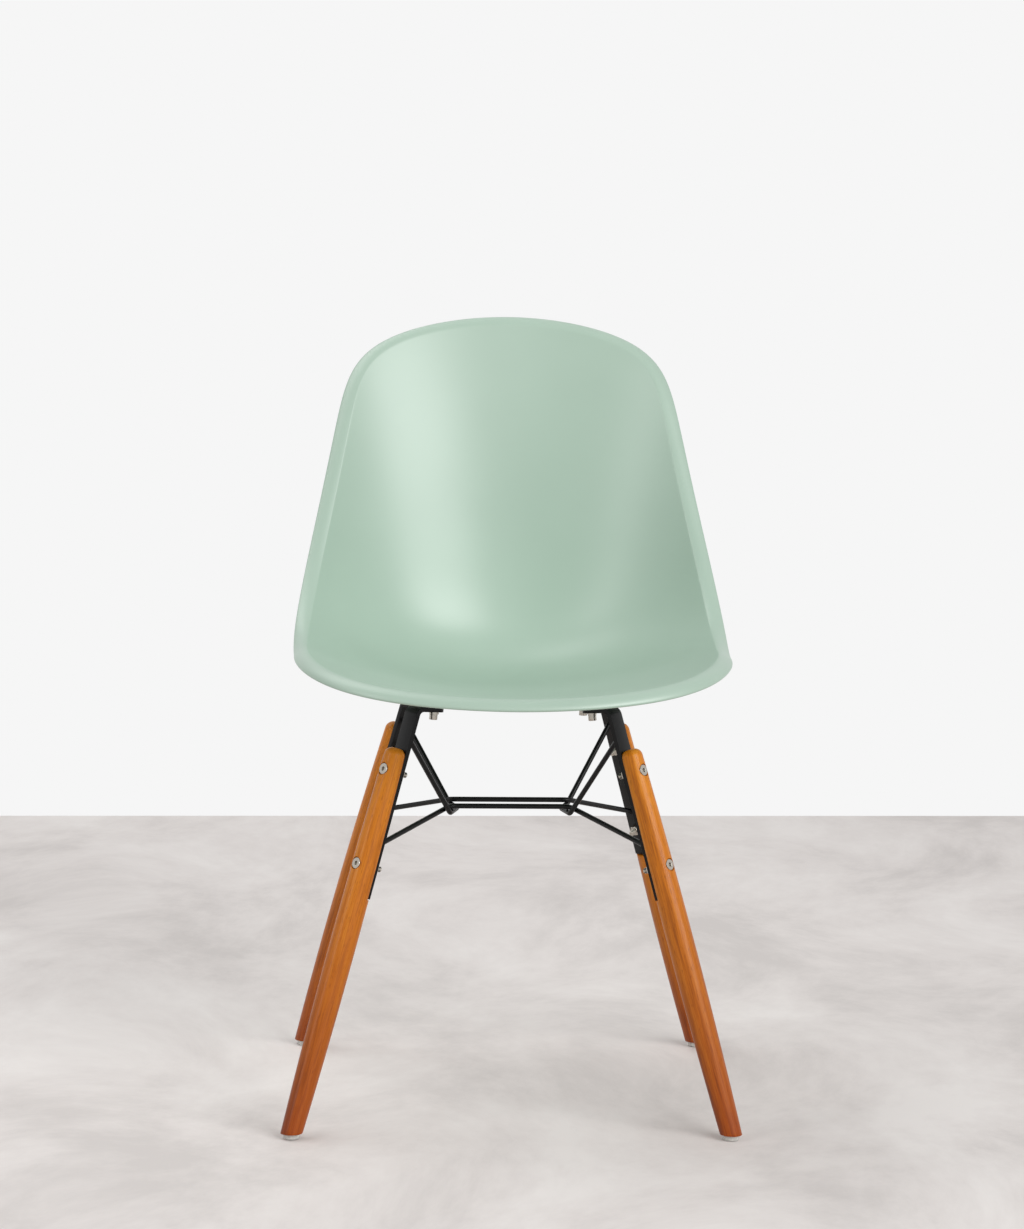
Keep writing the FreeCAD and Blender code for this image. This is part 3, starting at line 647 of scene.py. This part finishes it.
def bow():
    """Terms of the leg's radius a + b z + c z z through its foot, belly and shoulder."""
    belly = LEG_LENGTH * BELLY_SHARE
    shoulder = LEG_LENGTH - LEG_TOP_ROUND
    heights = ((0.0, LEG_DIA_FOOT / 2), (belly, LEG_DIA_BELLY / 2), (shoulder, LEG_DIA_TOP / 2))
    rows = np.array([[1.0, z, z * z] for z, _ in heights])
    return np.linalg.solve(rows, np.array([radius for _, radius in heights]))


BOW = bow()


def leg_radius(up):
    return BOW[0] + BOW[1] * up + BOW[2] * up * up


def bolt_seat(up):
    """Distance from the leg's axis to the seat of a bolt's head."""
    return leg_radius(up) - HEAD_RECESS - LEG_HEAD[1]


def tab_centre(end):
    """Middle of a tab's thickness at its seat bolt, in the leg's frame, and the tab's rise."""
    foot, top = foot_and_top(1, end)
    lean_sin, lean_cos = lean_of_leg(end)
    bolt_x = MOUNT_X if end < 0 else REAR_MOUNT_X
    inward = (foot.x - bolt_x) / (foot.x - top.x) * lean_sin * LEG_LENGTH
    face = FRONT_TAB_TOP_Z if end < 0 else FRONT_TAB_TOP_Z - REAR_TAB_DROP
    tilt = FRONT_TAB_TILT if end < 0 else REAR_TAB_TILT
    up = face - BAR_THICK / 2 - GLIDE_HEIGHT
    middle = Vector((up * lean_sin - inward * lean_cos, 0, inward * lean_sin + up * lean_cos))
    return middle, math.asin(lean_sin) - tilt


def tab_frame(side, end):
    """Frame at a seat bolt: z up, square to the tab, origin in the middle of its thickness."""
    leg = leg_frame(side, end)
    hole, rise = tab_centre(end)
    turn = leg.to_3x3()
    heading = turn @ Vector((-math.cos(rise), 0, math.sin(rise)))
    face_up = turn @ Vector((math.sin(rise), 0, math.cos(rise)))
    return frame_of((leg @ (hole * MM)) / MM, heading, face_up)


def weld_point(side, end, rise):
    """Middle of a bracket's inner face at a height over the leg's upper end, in metres."""
    lean_sin, lean_cos = lean_of_leg(end)
    x = -LEG_FLAT - BAR_THICK
    up = LEG_LENGTH + (rise - x * lean_sin) / lean_cos
    return leg_frame(side, end) @ (Vector((x, 0, up)) * MM)


# Geometry trees

def rod_tree():
    """A round rod along a route, bent at its points by the radius that each point names."""
    tree, given = new_tree("bent_rod", (
        ("Rod diameter", "Float", 0.005), ("Steps in a bend", "Int", 8), ("Facets", "Int", 24),
        ("Material", "Material", None)))
    route = add(tree, "GeometryNodeMeshToCurve", {"Mesh": given["Geometry"]})
    radius = add(tree, "GeometryNodeInputNamedAttribute", {"Name": "bend"}, data_type="FLOAT")
    bends = add(tree, "GeometryNodeFilletCurve", {
        "Curve": route, "Radius": radius.outputs["Attribute"], "Count": given["Steps in a bend"]},
        mode="POLY")
    half = add(tree, "ShaderNodeMath", {0: given["Rod diameter"], 1: 0.5}, operation="MULTIPLY")
    ring = add(tree, "GeometryNodeCurvePrimitiveCircle", {
        "Resolution": given["Facets"], "Radius": half})
    rod = add(tree, "GeometryNodeCurveToMesh", {
        "Curve": bends, "Profile Curve": ring, "Fill Caps": True})
    end_tree(tree, rod, given["Material"])
    return tree


CUTTER = 0.12               # width in metres of the blocks that cut a leg, far more than its own
CUTTER_HEIGHT = 1.0         # height in metres of the block for the flat


def leg_tree():
    """A turned leg: its axis swept with a bowed radius and a rounded upper end, then the flat for
    the bracket, the two counterbores and the level foot are cut."""
    numbers = ("Foot radius", "Bow rise", "Bow fall", "Shoulder height", "Shoulder radius",
               "Top rounding", "Flat depth", "Flat height", "Counterbore radius", "Lean",
               "Lower bolt height", "Lower bolt seat", "Upper bolt height", "Upper bolt seat")
    tree, given = new_tree("turned_leg", (
        *((label, "Float", 0.0) for label in numbers), ("Facets", "Int", 96),
        ("Material", "Material", None)))
    place = add(tree, "GeometryNodeInputPosition")
    up = add(tree, "ShaderNodeSeparateXYZ", {"Vector": place}).outputs["Z"]
    slope = add(tree, "ShaderNodeMath", {0: up, 1: given["Bow fall"], 2: given["Bow rise"]},
                operation="MULTIPLY_ADD")
    bowed = add(tree, "ShaderNodeMath", {0: up, 1: slope, 2: given["Foot radius"]},
                operation="MULTIPLY_ADD")
    past = add(tree, "ShaderNodeMath", {0: up, 1: given["Shoulder height"]}, operation="SUBTRACT")
    turn = add(tree, "ShaderNodeMath", {0: past, 1: given["Top rounding"]}, operation="DIVIDE",
               use_clamp=True)
    angle = add(tree, "ShaderNodeMath", {0: turn}, operation="ARCSINE")
    reach = add(tree, "ShaderNodeMath", {0: angle}, operation="COSINE")
    inset = add(tree, "ShaderNodeMath", {0: given["Shoulder radius"], 1: given["Top rounding"]},
                operation="SUBTRACT")
    crown = add(tree, "ShaderNodeMath", {0: reach, 1: given["Top rounding"], 2: inset},
                operation="MULTIPLY_ADD")
    above = add(tree, "ShaderNodeMath", {0: past, 1: 0.0}, operation="GREATER_THAN")
    radius = add(tree, "GeometryNodeSwitch", {"Switch": above, "False": bowed, "True": crown},
                 input_type="FLOAT").outputs["Output"]
    axis = add(tree, "GeometryNodeMeshToCurve", {"Mesh": given["Geometry"]})
    ring = add(tree, "GeometryNodeCurvePrimitiveCircle", {
        "Resolution": given["Facets"], "Radius": 1.0})
    body = add(tree, "GeometryNodeCurveToMesh", {
        "Curve": axis, "Profile Curve": ring, "Scale": radius, "Fill Caps": True})
    flat_x = add(tree, "ShaderNodeMath", {0: -CUTTER / 2, 1: given["Flat depth"]},
                 operation="SUBTRACT")
    flat_z = add(tree, "ShaderNodeMath", {0: given["Flat height"], 1: CUTTER_HEIGHT / 2},
                 operation="ADD")
    flat_at = add(tree, "ShaderNodeCombineXYZ", {"X": flat_x, "Z": flat_z})
    flat = add(tree, "GeometryNodeMeshCube", {"Size": (CUTTER, CUTTER, CUTTER_HEIGHT)})
    tools = [add(tree, "GeometryNodeTransform", {"Geometry": flat, "Translation": flat_at})]
    for bolt in ("Lower bolt", "Upper bolt"):
        bore = add(tree, "GeometryNodeMeshCylinder", {
            "Vertices": 64, "Radius": given["Counterbore radius"], "Depth": CUTTER})
        middle = add(tree, "ShaderNodeMath", {0: given[bolt + " seat"], 1: CUTTER / 2},
                     operation="ADD")
        at = add(tree, "ShaderNodeCombineXYZ", {"X": middle, "Z": given[bolt + " height"]})
        tools.append(add(tree, "GeometryNodeTransform", {
            "Geometry": bore, "Translation": at, "Rotation": (0, math.pi / 2, 0)}))
    floor = add(tree, "GeometryNodeMeshCube", {"Size": (CUTTER, CUTTER, CUTTER)})
    sink = add(tree, "ShaderNodeVectorRotate", {
        "Vector": (0.0, 0.0, -CUTTER / 2), "Angle": given["Lean"]}, rotation_type="Y_AXIS")
    lean = add(tree, "ShaderNodeCombineXYZ", {"Y": given["Lean"]})
    tools.append(add(tree, "GeometryNodeTransform", {
        "Geometry": floor, "Translation": sink, "Rotation": lean}))
    cut = add(tree, "GeometryNodeMeshBoolean", {"Mesh 1": body}, operation="DIFFERENCE",
              solver="EXACT")
    for tool in tools:
        tree.links.new(tool.outputs["Geometry"], cut.inputs["Mesh 2"])
    end_tree(tree, cut, given["Material"])
    return tree


def fastener_tree():
    """One piece of hardware at each point, turned so that its z lies along the point's axis."""
    tree, given = new_tree("hardware_on_points", (
        ("Piece", "Object", None), ("Material", "Material", None)))
    piece = add(tree, "GeometryNodeObjectInfo", {"Object": given["Piece"]})
    axis = add(tree, "GeometryNodeInputNamedAttribute", {"Name": "axis"},
               data_type="FLOAT_VECTOR")
    turn = add(tree, "FunctionNodeAlignRotationToVector", {"Vector": axis.outputs["Attribute"]},
               axis="Z")
    many = add(tree, "GeometryNodeInstanceOnPoints", {
        "Points": given["Geometry"], "Instance": piece.outputs["Geometry"],
        "Rotation": turn})
    end_tree(tree, many, given["Material"])
    return tree


ROD_TREE = rod_tree()
LEG_TREE = leg_tree()
FASTENER_TREE = fastener_tree()


# Pieces of the base

LEG_RINGS = 72
LEG_TOP_TURNS = (12, 24, 36, 48, 60, 72, 82, 90)     # degrees up the rounded end, one ring each
LEG_EDGE = 0.4              # rounding of a leg's cut edges
FLAT_BELOW_BAR = 1.0        # the flat begins this far below the bracket's lower end
GRAIN_START = (0.0, 0.17, 0.0)
GRAIN_STEP = np.array((0.31, 0.0, 0.7))      # metres between the grain of one leg and the next
BRACKET_EDGE = 0.7
BEND_STEPS = 14
TAB_STEPS = 12
TAB_LAST_TURN = math.radians(87.0)
ROD_IN_BAR = 3.0            # a rod's end stands this far in its bracket, as its weld does


def make_leg(side, end, place):
    shoulder = LEG_LENGTH - LEG_TOP_ROUND
    heights = [*np.linspace(-LEG_DIA_FOOT, shoulder, LEG_RINGS)]
    heights += [shoulder + LEG_TOP_ROUND * math.sin(math.radians(t)) for t in LEG_TOP_TURNS]
    low, high = LEG_BOLTS
    leg = grown(
        maker_of([(0, 0, z * MM) for z in heights], True), LEG_TREE, "leg_turned_" + place,
        Foot_radius=float(BOW[0]) * MM, Bow_rise=float(BOW[1]), Bow_fall=float(BOW[2]) / MM,
        Shoulder_height=shoulder * MM, Shoulder_radius=LEG_DIA_TOP / 2 * MM,
        Top_rounding=LEG_TOP_ROUND * MM, Flat_depth=LEG_FLAT * MM,
        Flat_height=(BAR_FOOT - FLAT_BELOW_BAR) * MM, Counterbore_radius=COUNTERBORE_DIA / 2 * MM,
        Lower_bolt_height=low * MM, Lower_bolt_seat=bolt_seat(low) * MM,
        Upper_bolt_height=high * MM, Upper_bolt_seat=bolt_seat(high) * MM,
        Lean=math.asin(lean_of_leg(end)[0]), Material=WOOD)
    leg = softened(leg, LEG_EDGE, 2)
    places = np.array([tuple(vertex.co) for vertex in leg.data.vertices])
    number = list(CORNERS).index((side, end))
    attach(leg.data, "grain", places + GRAIN_START + number * GRAIN_STEP)
    attach(leg.data, "up_the_leg", np.clip(places[:, 2] / (LEG_LENGTH * MM), 0.0, 1.0))
    leg.data.transform(leg_frame(side, end))
    hand_over(leg, "leg_" + place)


def softened(piece, width, segments, angle=38):
    """The piece with its sharp edges rounded by a width in millimetres and smoothly shaded."""
    mesh = bmesh.new()
    mesh.from_mesh(piece.data)
    bmesh.ops.remove_doubles(mesh, verts=mesh.verts, dist=0.005 * MM)
    mesh.to_mesh(piece.data)
    mesh.free()
    bevel = piece.modifiers.new("soft_edges", "BEVEL")
    bevel.width = width * MM
    bevel.segments = segments
    bevel.limit_method = "ANGLE"
    bevel.angle_limit = math.radians(angle)
    done = applied(piece, piece.name)
    done.data.shade_smooth()
    return sharpened(done, angle)


def sharpened(piece, angle=35):
    """The piece with its edges above an angle in degrees shaded sharp."""
    piece.data.set_sharp_from_angle(angle=math.radians(angle))
    return piece


def ring_faces(rings, facets):
    """Faces of a closed shape from a number of rings with equally many points each."""
    faces = [tuple(range(facets))[::-1], tuple(range((rings - 1) * facets, rings * facets))]
    for first_of_ring in range(0, (rings - 1) * facets, facets):
        for k in range(facets):
            first, second = first_of_ring + k, first_of_ring + (k + 1) % facets
            faces.append((first, second, second + facets, first + facets))
    return faces


def make_bracket(side, end, place):
    """Flat bar along the leg's inner side, bent over at the top into a round ended tab."""
    half = BAR_THICK / 2
    middle_x = -LEG_FLAT - half
    hole, rise = tab_centre(end)
    heading = Vector((-math.cos(rise), 0, math.sin(rise)))
    face_up = Vector((math.sin(rise), 0, math.cos(rise)))
    reach = (middle_x - hole.x) / math.cos(rise)
    radius = BAR_BEND + half
    bend_z = hole.z - reach * math.sin(rise) - radius * math.tan((math.pi / 2 - rise) / 2)
    centre = Vector((middle_x - radius, 0, bend_z))
    rows = [(Vector((middle_x, 0, BAR_FOOT)), Vector((1, 0, 0)), BAR_WIDTH / 2)]
    for k in range(BEND_STEPS + 1):
        turn = (math.pi / 2 - rise) * k / BEND_STEPS
        out = Vector((math.cos(turn), 0, math.sin(turn)))
        rows.append((centre + out * radius, out, BAR_WIDTH / 2))
    for k in range(TAB_STEPS + 1):
        turn = TAB_LAST_TURN * k / TAB_STEPS
        rows.append((hole + heading * BAR_WIDTH / 2 * math.sin(turn), face_up,
                     BAR_WIDTH / 2 * math.cos(turn)))
    points = [(middle + out * half * face + Vector((0, wide * across, 0))) * MM
              for middle, out, wide in rows
              for face, across in ((1, -1), (1, 1), (-1, 1), (-1, -1))]
    bar = mesh_piece("bracket_bar_" + place, points, ring_faces(len(rows), 4), STEEL)
    bar = softened(bar, BRACKET_EDGE, 3, 40)
    bar.data.transform(leg_frame(side, end))
    hand_over(bar, "bracket_" + place)


def make_rod(name, route, bends, node):
    """A rod along a route in metres, with a bend radius in millimetres at each of its points."""
    rod = grown(maker_of(route, True, bend=[b * MM for b in bends]), ROD_TREE, name,
                Rod_diameter=ROD_DIA * MM, Material=STEEL)
    rod.data.shade_smooth()
    hand_over(sharpened(rod, 40), node)


def welded(point, neighbour):
    """A rod's end at a weld point, moved on from the rod's next bend into the bracket."""
    return point + (point - neighbour).normalized() * ROD_IN_BAR * MM


def make_brace():
    for end, label in ENDS:
        left, right = [Vector((NODE[0] * side, NODE[1] * end, NODE[2])) * MM for side in (-1, 1)]
        start, stop = [weld_point(side, end, -ROD_WELD_DROP) for side in (-1, 1)]
        route = [welded(start, left), left, right, welded(stop, right)]
        make_rod("brace_lower_" + label, route, [0, ROD_BEND, ROD_BEND, 0], "rod_lower_" + label)
    under = NODE[2] - ROD_DIA - WELD_GAP
    for side, label in SIDES:
        front, rear = [Vector((NODE[0] * side, DIP_Y * end, under)) * MM for end in (-1, 1)]
        middle = Vector(((NODE[0] - DIP_IN) * side, 0, under)) * MM
        start = weld_point(side, -1, FRONT_ROD_WELD_RISE)
        stop = weld_point(side, 1, REAR_ROD_WELD_RISE)
        route = [welded(start, front), front, middle, rear, welded(stop, rear)]
        make_rod("brace_side_" + label, route, [0, TIP_BEND, ROD_BEND, TIP_BEND, 0],
                 "rod_side_" + label)


HARDWARE_FACETS = 48
THREADS = 13
THREAD_PITCH = 1.0
THREAD_DEPTH = 0.45
THREAD_LENGTH = 14.0
SCREW_POINT = 0.9           # chamfers and roundings of screws and nuts
HEAD_ROUND = 0.6
HEAD_ROUND_MIDDLE = 0.17
HEAD_UNDER = 0.2
SOCKET_CHAMFER = 0.25
NUT_CHAMFER = 0.55
NUT_FACE_IN = 0.1
GLIDE_PROFILE = ((3.1, 1.8), (3.1, 0.3), (3.4, 0.0), (6.9, 0.0), (7.7, 0.25), (8.25, 0.8),
                 (8.5, 1.6), (8.5, 5.4), (8.3, 6.0))      # radius, height, from its recess out


def ring_of(radii, height):
    """Points (x, y, z) of a closed ring from its radius at each facet."""
    turns = [2 * math.pi * k / HARDWARE_FACETS for k in range(HARDWARE_FACETS)]
    return [(r * math.cos(turn), r * math.sin(turn), height) for r, turn in zip(radii, turns)]


def circle(radius, height):
    return ring_of([radius] * HARDWARE_FACETS, height)


def hexagon(across, height, limit=math.inf):
    """Ring of a hexagon by its width across flats, with its corners cut at a limiting radius."""
    sixth = HARDWARE_FACETS // 6
    off = [abs((k + sixth // 2) % sixth - sixth // 2) for k in range(HARDWARE_FACETS)]
    turns = [2 * math.pi * steps / HARDWARE_FACETS for steps in off]
    return ring_of([min(across / 2 / math.cos(turn), limit) for turn in turns], height)


def stacked(name, rings, angle, material=NICKEL):
    """A closed piece from rings of (x, y, z) points in millimetres."""
    points = [Vector(p) * MM for ring in rings for p in ring]
    faces = ring_faces(len(rings), HARDWARE_FACETS)
    return sharpened(mesh_piece(name, points, faces, material), angle)


def socket_screw(shank, length, head):
    """Socket head screw, head below z = 0 and shank above, with its thread's ridges at the end."""
    radius = head[0] / 2
    top = -head[1]
    rings = [
        hexagon(SOCKET_ACROSS, top + SOCKET_DEPTH), hexagon(SOCKET_ACROSS, top + SOCKET_CHAMFER),
        hexagon(SOCKET_ACROSS + 2 * SOCKET_CHAMFER, top), circle(radius - HEAD_ROUND, top),
        circle(radius - HEAD_ROUND_MIDDLE, top + HEAD_ROUND_MIDDLE),
        circle(radius, top + HEAD_ROUND), circle(radius, -HEAD_UNDER),
        circle(radius - HEAD_UNDER, 0.0), circle(shank / 2, 0.0)]
    for k in range(THREADS):
        height = length - THREAD_LENGTH + k * THREAD_PITCH
        rings.append(circle(shank / 2, height))
        rings.append(circle(shank / 2 - THREAD_DEPTH, height + THREAD_PITCH / 2))
    rings.append(circle(shank / 2, length - SCREW_POINT))
    rings.append(circle(shank / 2 - SCREW_POINT, length))
    return stacked("screw", rings, 35)


def hexagon_nut():
    """Hexagon nut with its corners chamfered to a circle on both faces."""
    face = NUT_ACROSS / 2 - NUT_FACE_IN
    rings = [hexagon(NUT_ACROSS, 0.0, face), hexagon(NUT_ACROSS, NUT_CHAMFER),
             hexagon(NUT_ACROSS, NUT_HEIGHT - NUT_CHAMFER), hexagon(NUT_ACROSS, NUT_HEIGHT, face)]
    return stacked("nut", rings, 25)


def on_points(piece, places, name):
    """A piece of hardware repeated at (point, axis) places in metres."""
    points, axes = zip(*places)
    maker = maker_of(points, axis=[tuple(axis) for axis in axes])
    many = grown(maker, FASTENER_TREE, name, Piece=piece, Material=NICKEL)
    bpy.data.objects.remove(piece)
    return many


def joined(pieces, name):
    """Several pieces as one mesh at the origin."""
    mesh = bmesh.new()
    for piece in pieces:
        mesh.from_mesh(piece.data)
    whole = pieces[0].data.copy()
    mesh.to_mesh(whole)
    mesh.free()
    for piece in pieces:
        bpy.data.objects.remove(piece)
    whole.name = name
    return linked(name, whole)


def make_leg_hardware():
    screws = []
    nuts = []
    for up in LEG_BOLTS:
        seat = bolt_seat(up)
        length = seat + LEG_FLAT + BAR_THICK + NUT_HEIGHT + BOLT_END
        screw = socket_screw(LEG_BOLT_DIA, length, LEG_HEAD)
        places = []
        for side, end in CORNERS:
            leg = leg_frame(side, end)
            inward = leg.to_3x3() @ Vector((-1, 0, 0))
            places.append((leg @ (Vector((seat, 0, up)) * MM), inward))
            nuts.append((leg @ (Vector((-LEG_FLAT - BAR_THICK, 0, up)) * MM), inward))
        screws.append(on_points(screw, places, "screws"))
    hand_over(joined(screws, "leg_screws"), "leg_bolts")
    hand_over(on_points(hexagon_nut(), nuts, "leg_hexagon_nuts"), "leg_nuts")


def make_seat_screws():
    head_top = -BAR_THICK / 2 - WASHER_THICK - LOCK_WASHER_THICK
    length = BAR_THICK / 2 + PAD_THICK - head_top + BOLT_IN_INSERT
    places = []
    for side, end in CORNERS:
        tab = tab_frame(side, end)
        places.append((tab @ Vector((0, 0, head_top * MM)), tab.to_3x3() @ Vector((0, 0, 1))))
    screw = socket_screw(SEAT_BOLT_DIA, length, SEAT_HEAD)
    hand_over(on_points(screw, places, "seat_screws"), "seat_bolts")


def make_glides():
    for (side, end), place in CORNERS.items():
        rings = [circle(radius, height) for radius, height in GLIDE_PROFILE]
        glide = stacked("glide_turned_" + place, rings, 50, NYLON)
        foot = foot_and_top(side, end)[0] * Vector((1, 1, 0))
        glide.data.transform(Matrix.Translation(foot * MM))
        hand_over(glide, "glide_" + place)


BOSS_FOOT = ((4.8, 0.0), (12.6, 0.0), (13.6, 0.3), (14.0, 1.0))    # radius, height over the pad
BOSS_ROOT = ((14.0, -2.2), (14.5, -0.9), (15.9, 0.5))     # radius, height past the under side


def make_boss(side, end, under):
    """Boss from the pad up into the shell's wall, with a small fillet where they meet."""
    tab = tab_frame(side, end)
    up = tab.to_3x3() @ Vector((0, 0, 1))
    pad_top = BAR_THICK / 2 + PAD_THICK
    points = [tab @ (Vector(p) * MM) for radius, height in BOSS_FOOT
              for p in circle(radius, pad_top + height)]
    for radius, past in BOSS_ROOT:
        for p in circle(radius, pad_top):
            hit = under.ray_cast(tab @ (Vector(p) * MM), up)[0]
            points.append(hit + up * past * MM)
    faces = ring_faces(len(BOSS_FOOT + BOSS_ROOT), HARDWARE_FACETS)
    return sharpened(mesh_piece("boss", points, faces, PLASTIC))


def make_shell():
    points, faces = shell_mesh()
    body = mesh_piece("shell_body", points * MM, faces, PLASTIC)
    under = BVHTree.FromPolygons([v.co.copy() for v in body.data.vertices], faces)
    bosses = [make_boss(side, end, under) for side, end in CORNERS]
    hand_over(joined([body] + bosses, "shell_moulding"), "seat_shell")


make_shell()
for (side, end), place in CORNERS.items():
    make_leg(side, end, place)
    make_bracket(side, end, place)
make_brace()
make_leg_hardware()
make_seat_screws()
make_glides()

# CAD nodes whose shape is right get their finish.
KEPT = {"seat_washers": NICKEL, "seat_lock_washers": NICKEL, "glide_pins": NICKEL,
        "seat_pads": RUBBER, "seat_inserts": BRASS}
for node_name, finish in KEPT.items():
    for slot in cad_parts[node_name].material_slots:
        slot.material = finish


# Floor, light and camera

FLOOR_HALF = 1.612          # metres; the floor's far edge is the line behind the chair
FLOOR_TURN = math.radians(1.66)
FLOOR_DROP = 0.0003         # metres below the glides, so that the two faces stay apart
CAMERA_PLACE = (-143.4, -4375.6, 1126.1)
CAMERA_TURN = math.radians(-1.885)
CAMERA_ROLL = math.radians(0.667)
CAMERA_PITCH = math.radians(7.86)
FOCAL_PIXELS = 4140.0
PHOTO_WIDTH = 1024.0
SENSOR_WIDTH = 36.0


def studio_floor():
    corners = [(x * FLOOR_HALF, y * FLOOR_HALF, 0) for x, y in ((-1, -1), (1, -1), (1, 1), (-1, 1))]
    plane = mesh_piece("studio_floor", corners, [(0, 1, 2, 3)], CONCRETE)
    plane.rotation_euler.z = FLOOR_TURN
    plane.location.z = -FLOOR_DROP


def studio_world():
    """Even soft light from all round. The camera, gloss and glass see a near white backdrop."""
    world = bpy.data.worlds.new("studio")
    scene.world = world
    world.use_nodes = True
    tree = world.node_tree
    tree.nodes.clear()
    rays = add(tree, "ShaderNodeLightPath").outputs
    bright = add(tree, "ShaderNodeMath", {0: rays["Is Camera Ray"], 1: rays["Is Glossy Ray"]},
                 operation="ADD")
    seen = add(tree, "ShaderNodeMath", {0: bright, 1: rays["Is Transmission Ray"]},
               operation="ADD", use_clamp=True)
    light = add(tree, "ShaderNodeBackground", {"Color": srgb("#FFFFFF"), "Strength": 0.4})
    backdrop = add(tree, "ShaderNodeBackground", {"Color": srgb("#F6F6F6"), "Strength": 1.0})
    both = add(tree, "ShaderNodeMixShader", {0: seen, 1: light, 2: backdrop})
    add(tree, "ShaderNodeOutputWorld", {"Surface": both})


def soft_box(name, place, aim, size, power):
    """A white rectangular lamp that faces a point. Place, aim and size are in metres, power is in
    watts."""
    data = bpy.data.lights.new(name, "AREA")
    data.shape = "RECTANGLE"
    data.size, data.size_y = size
    data.energy = power
    lamp = linked(name, data)
    lamp.location = place
    lamp.rotation_euler = (Vector(aim) - Vector(place)).to_track_quat("-Z", "Y").to_euler()


def photo_camera():
    """The photo's camera, as fitted to the chair."""
    data = bpy.data.cameras.new("photo_camera")
    data.sensor_fit = "HORIZONTAL"
    data.sensor_width = SENSOR_WIDTH
    data.lens = SENSOR_WIDTH * FOCAL_PIXELS / PHOTO_WIDTH
    camera = linked("photo_camera", data)
    camera.location = Vector(CAMERA_PLACE) * MM
    heading = Vector((-math.sin(CAMERA_TURN) * math.cos(CAMERA_PITCH),
                      math.cos(CAMERA_TURN) * math.cos(CAMERA_PITCH), -math.sin(CAMERA_PITCH)))
    level = heading.to_track_quat("-Z", "Y")
    camera.rotation_euler = (level @ Quaternion((0, 0, 1), CAMERA_ROLL)).to_euler()
    scene.camera = camera


studio_floor()
studio_world()
soft_box("key_light", (3.7, -4.7, 3.4), (-0.7, 0.4, 0.2), (4.8, 3.0), 292.0)
soft_box("fill_light", (-4.7, -2.9, 2.8), (-0.6, 0.4, 0.0), (1.9, 3.2), 50.0)
soft_box("top_light", (-1.5, 0.8, 2.7), (-1.4, 0.8, 0.0), (2.2, 2.2), 26.0)
photo_camera()
scene.view_settings.view_transform = "Standard"
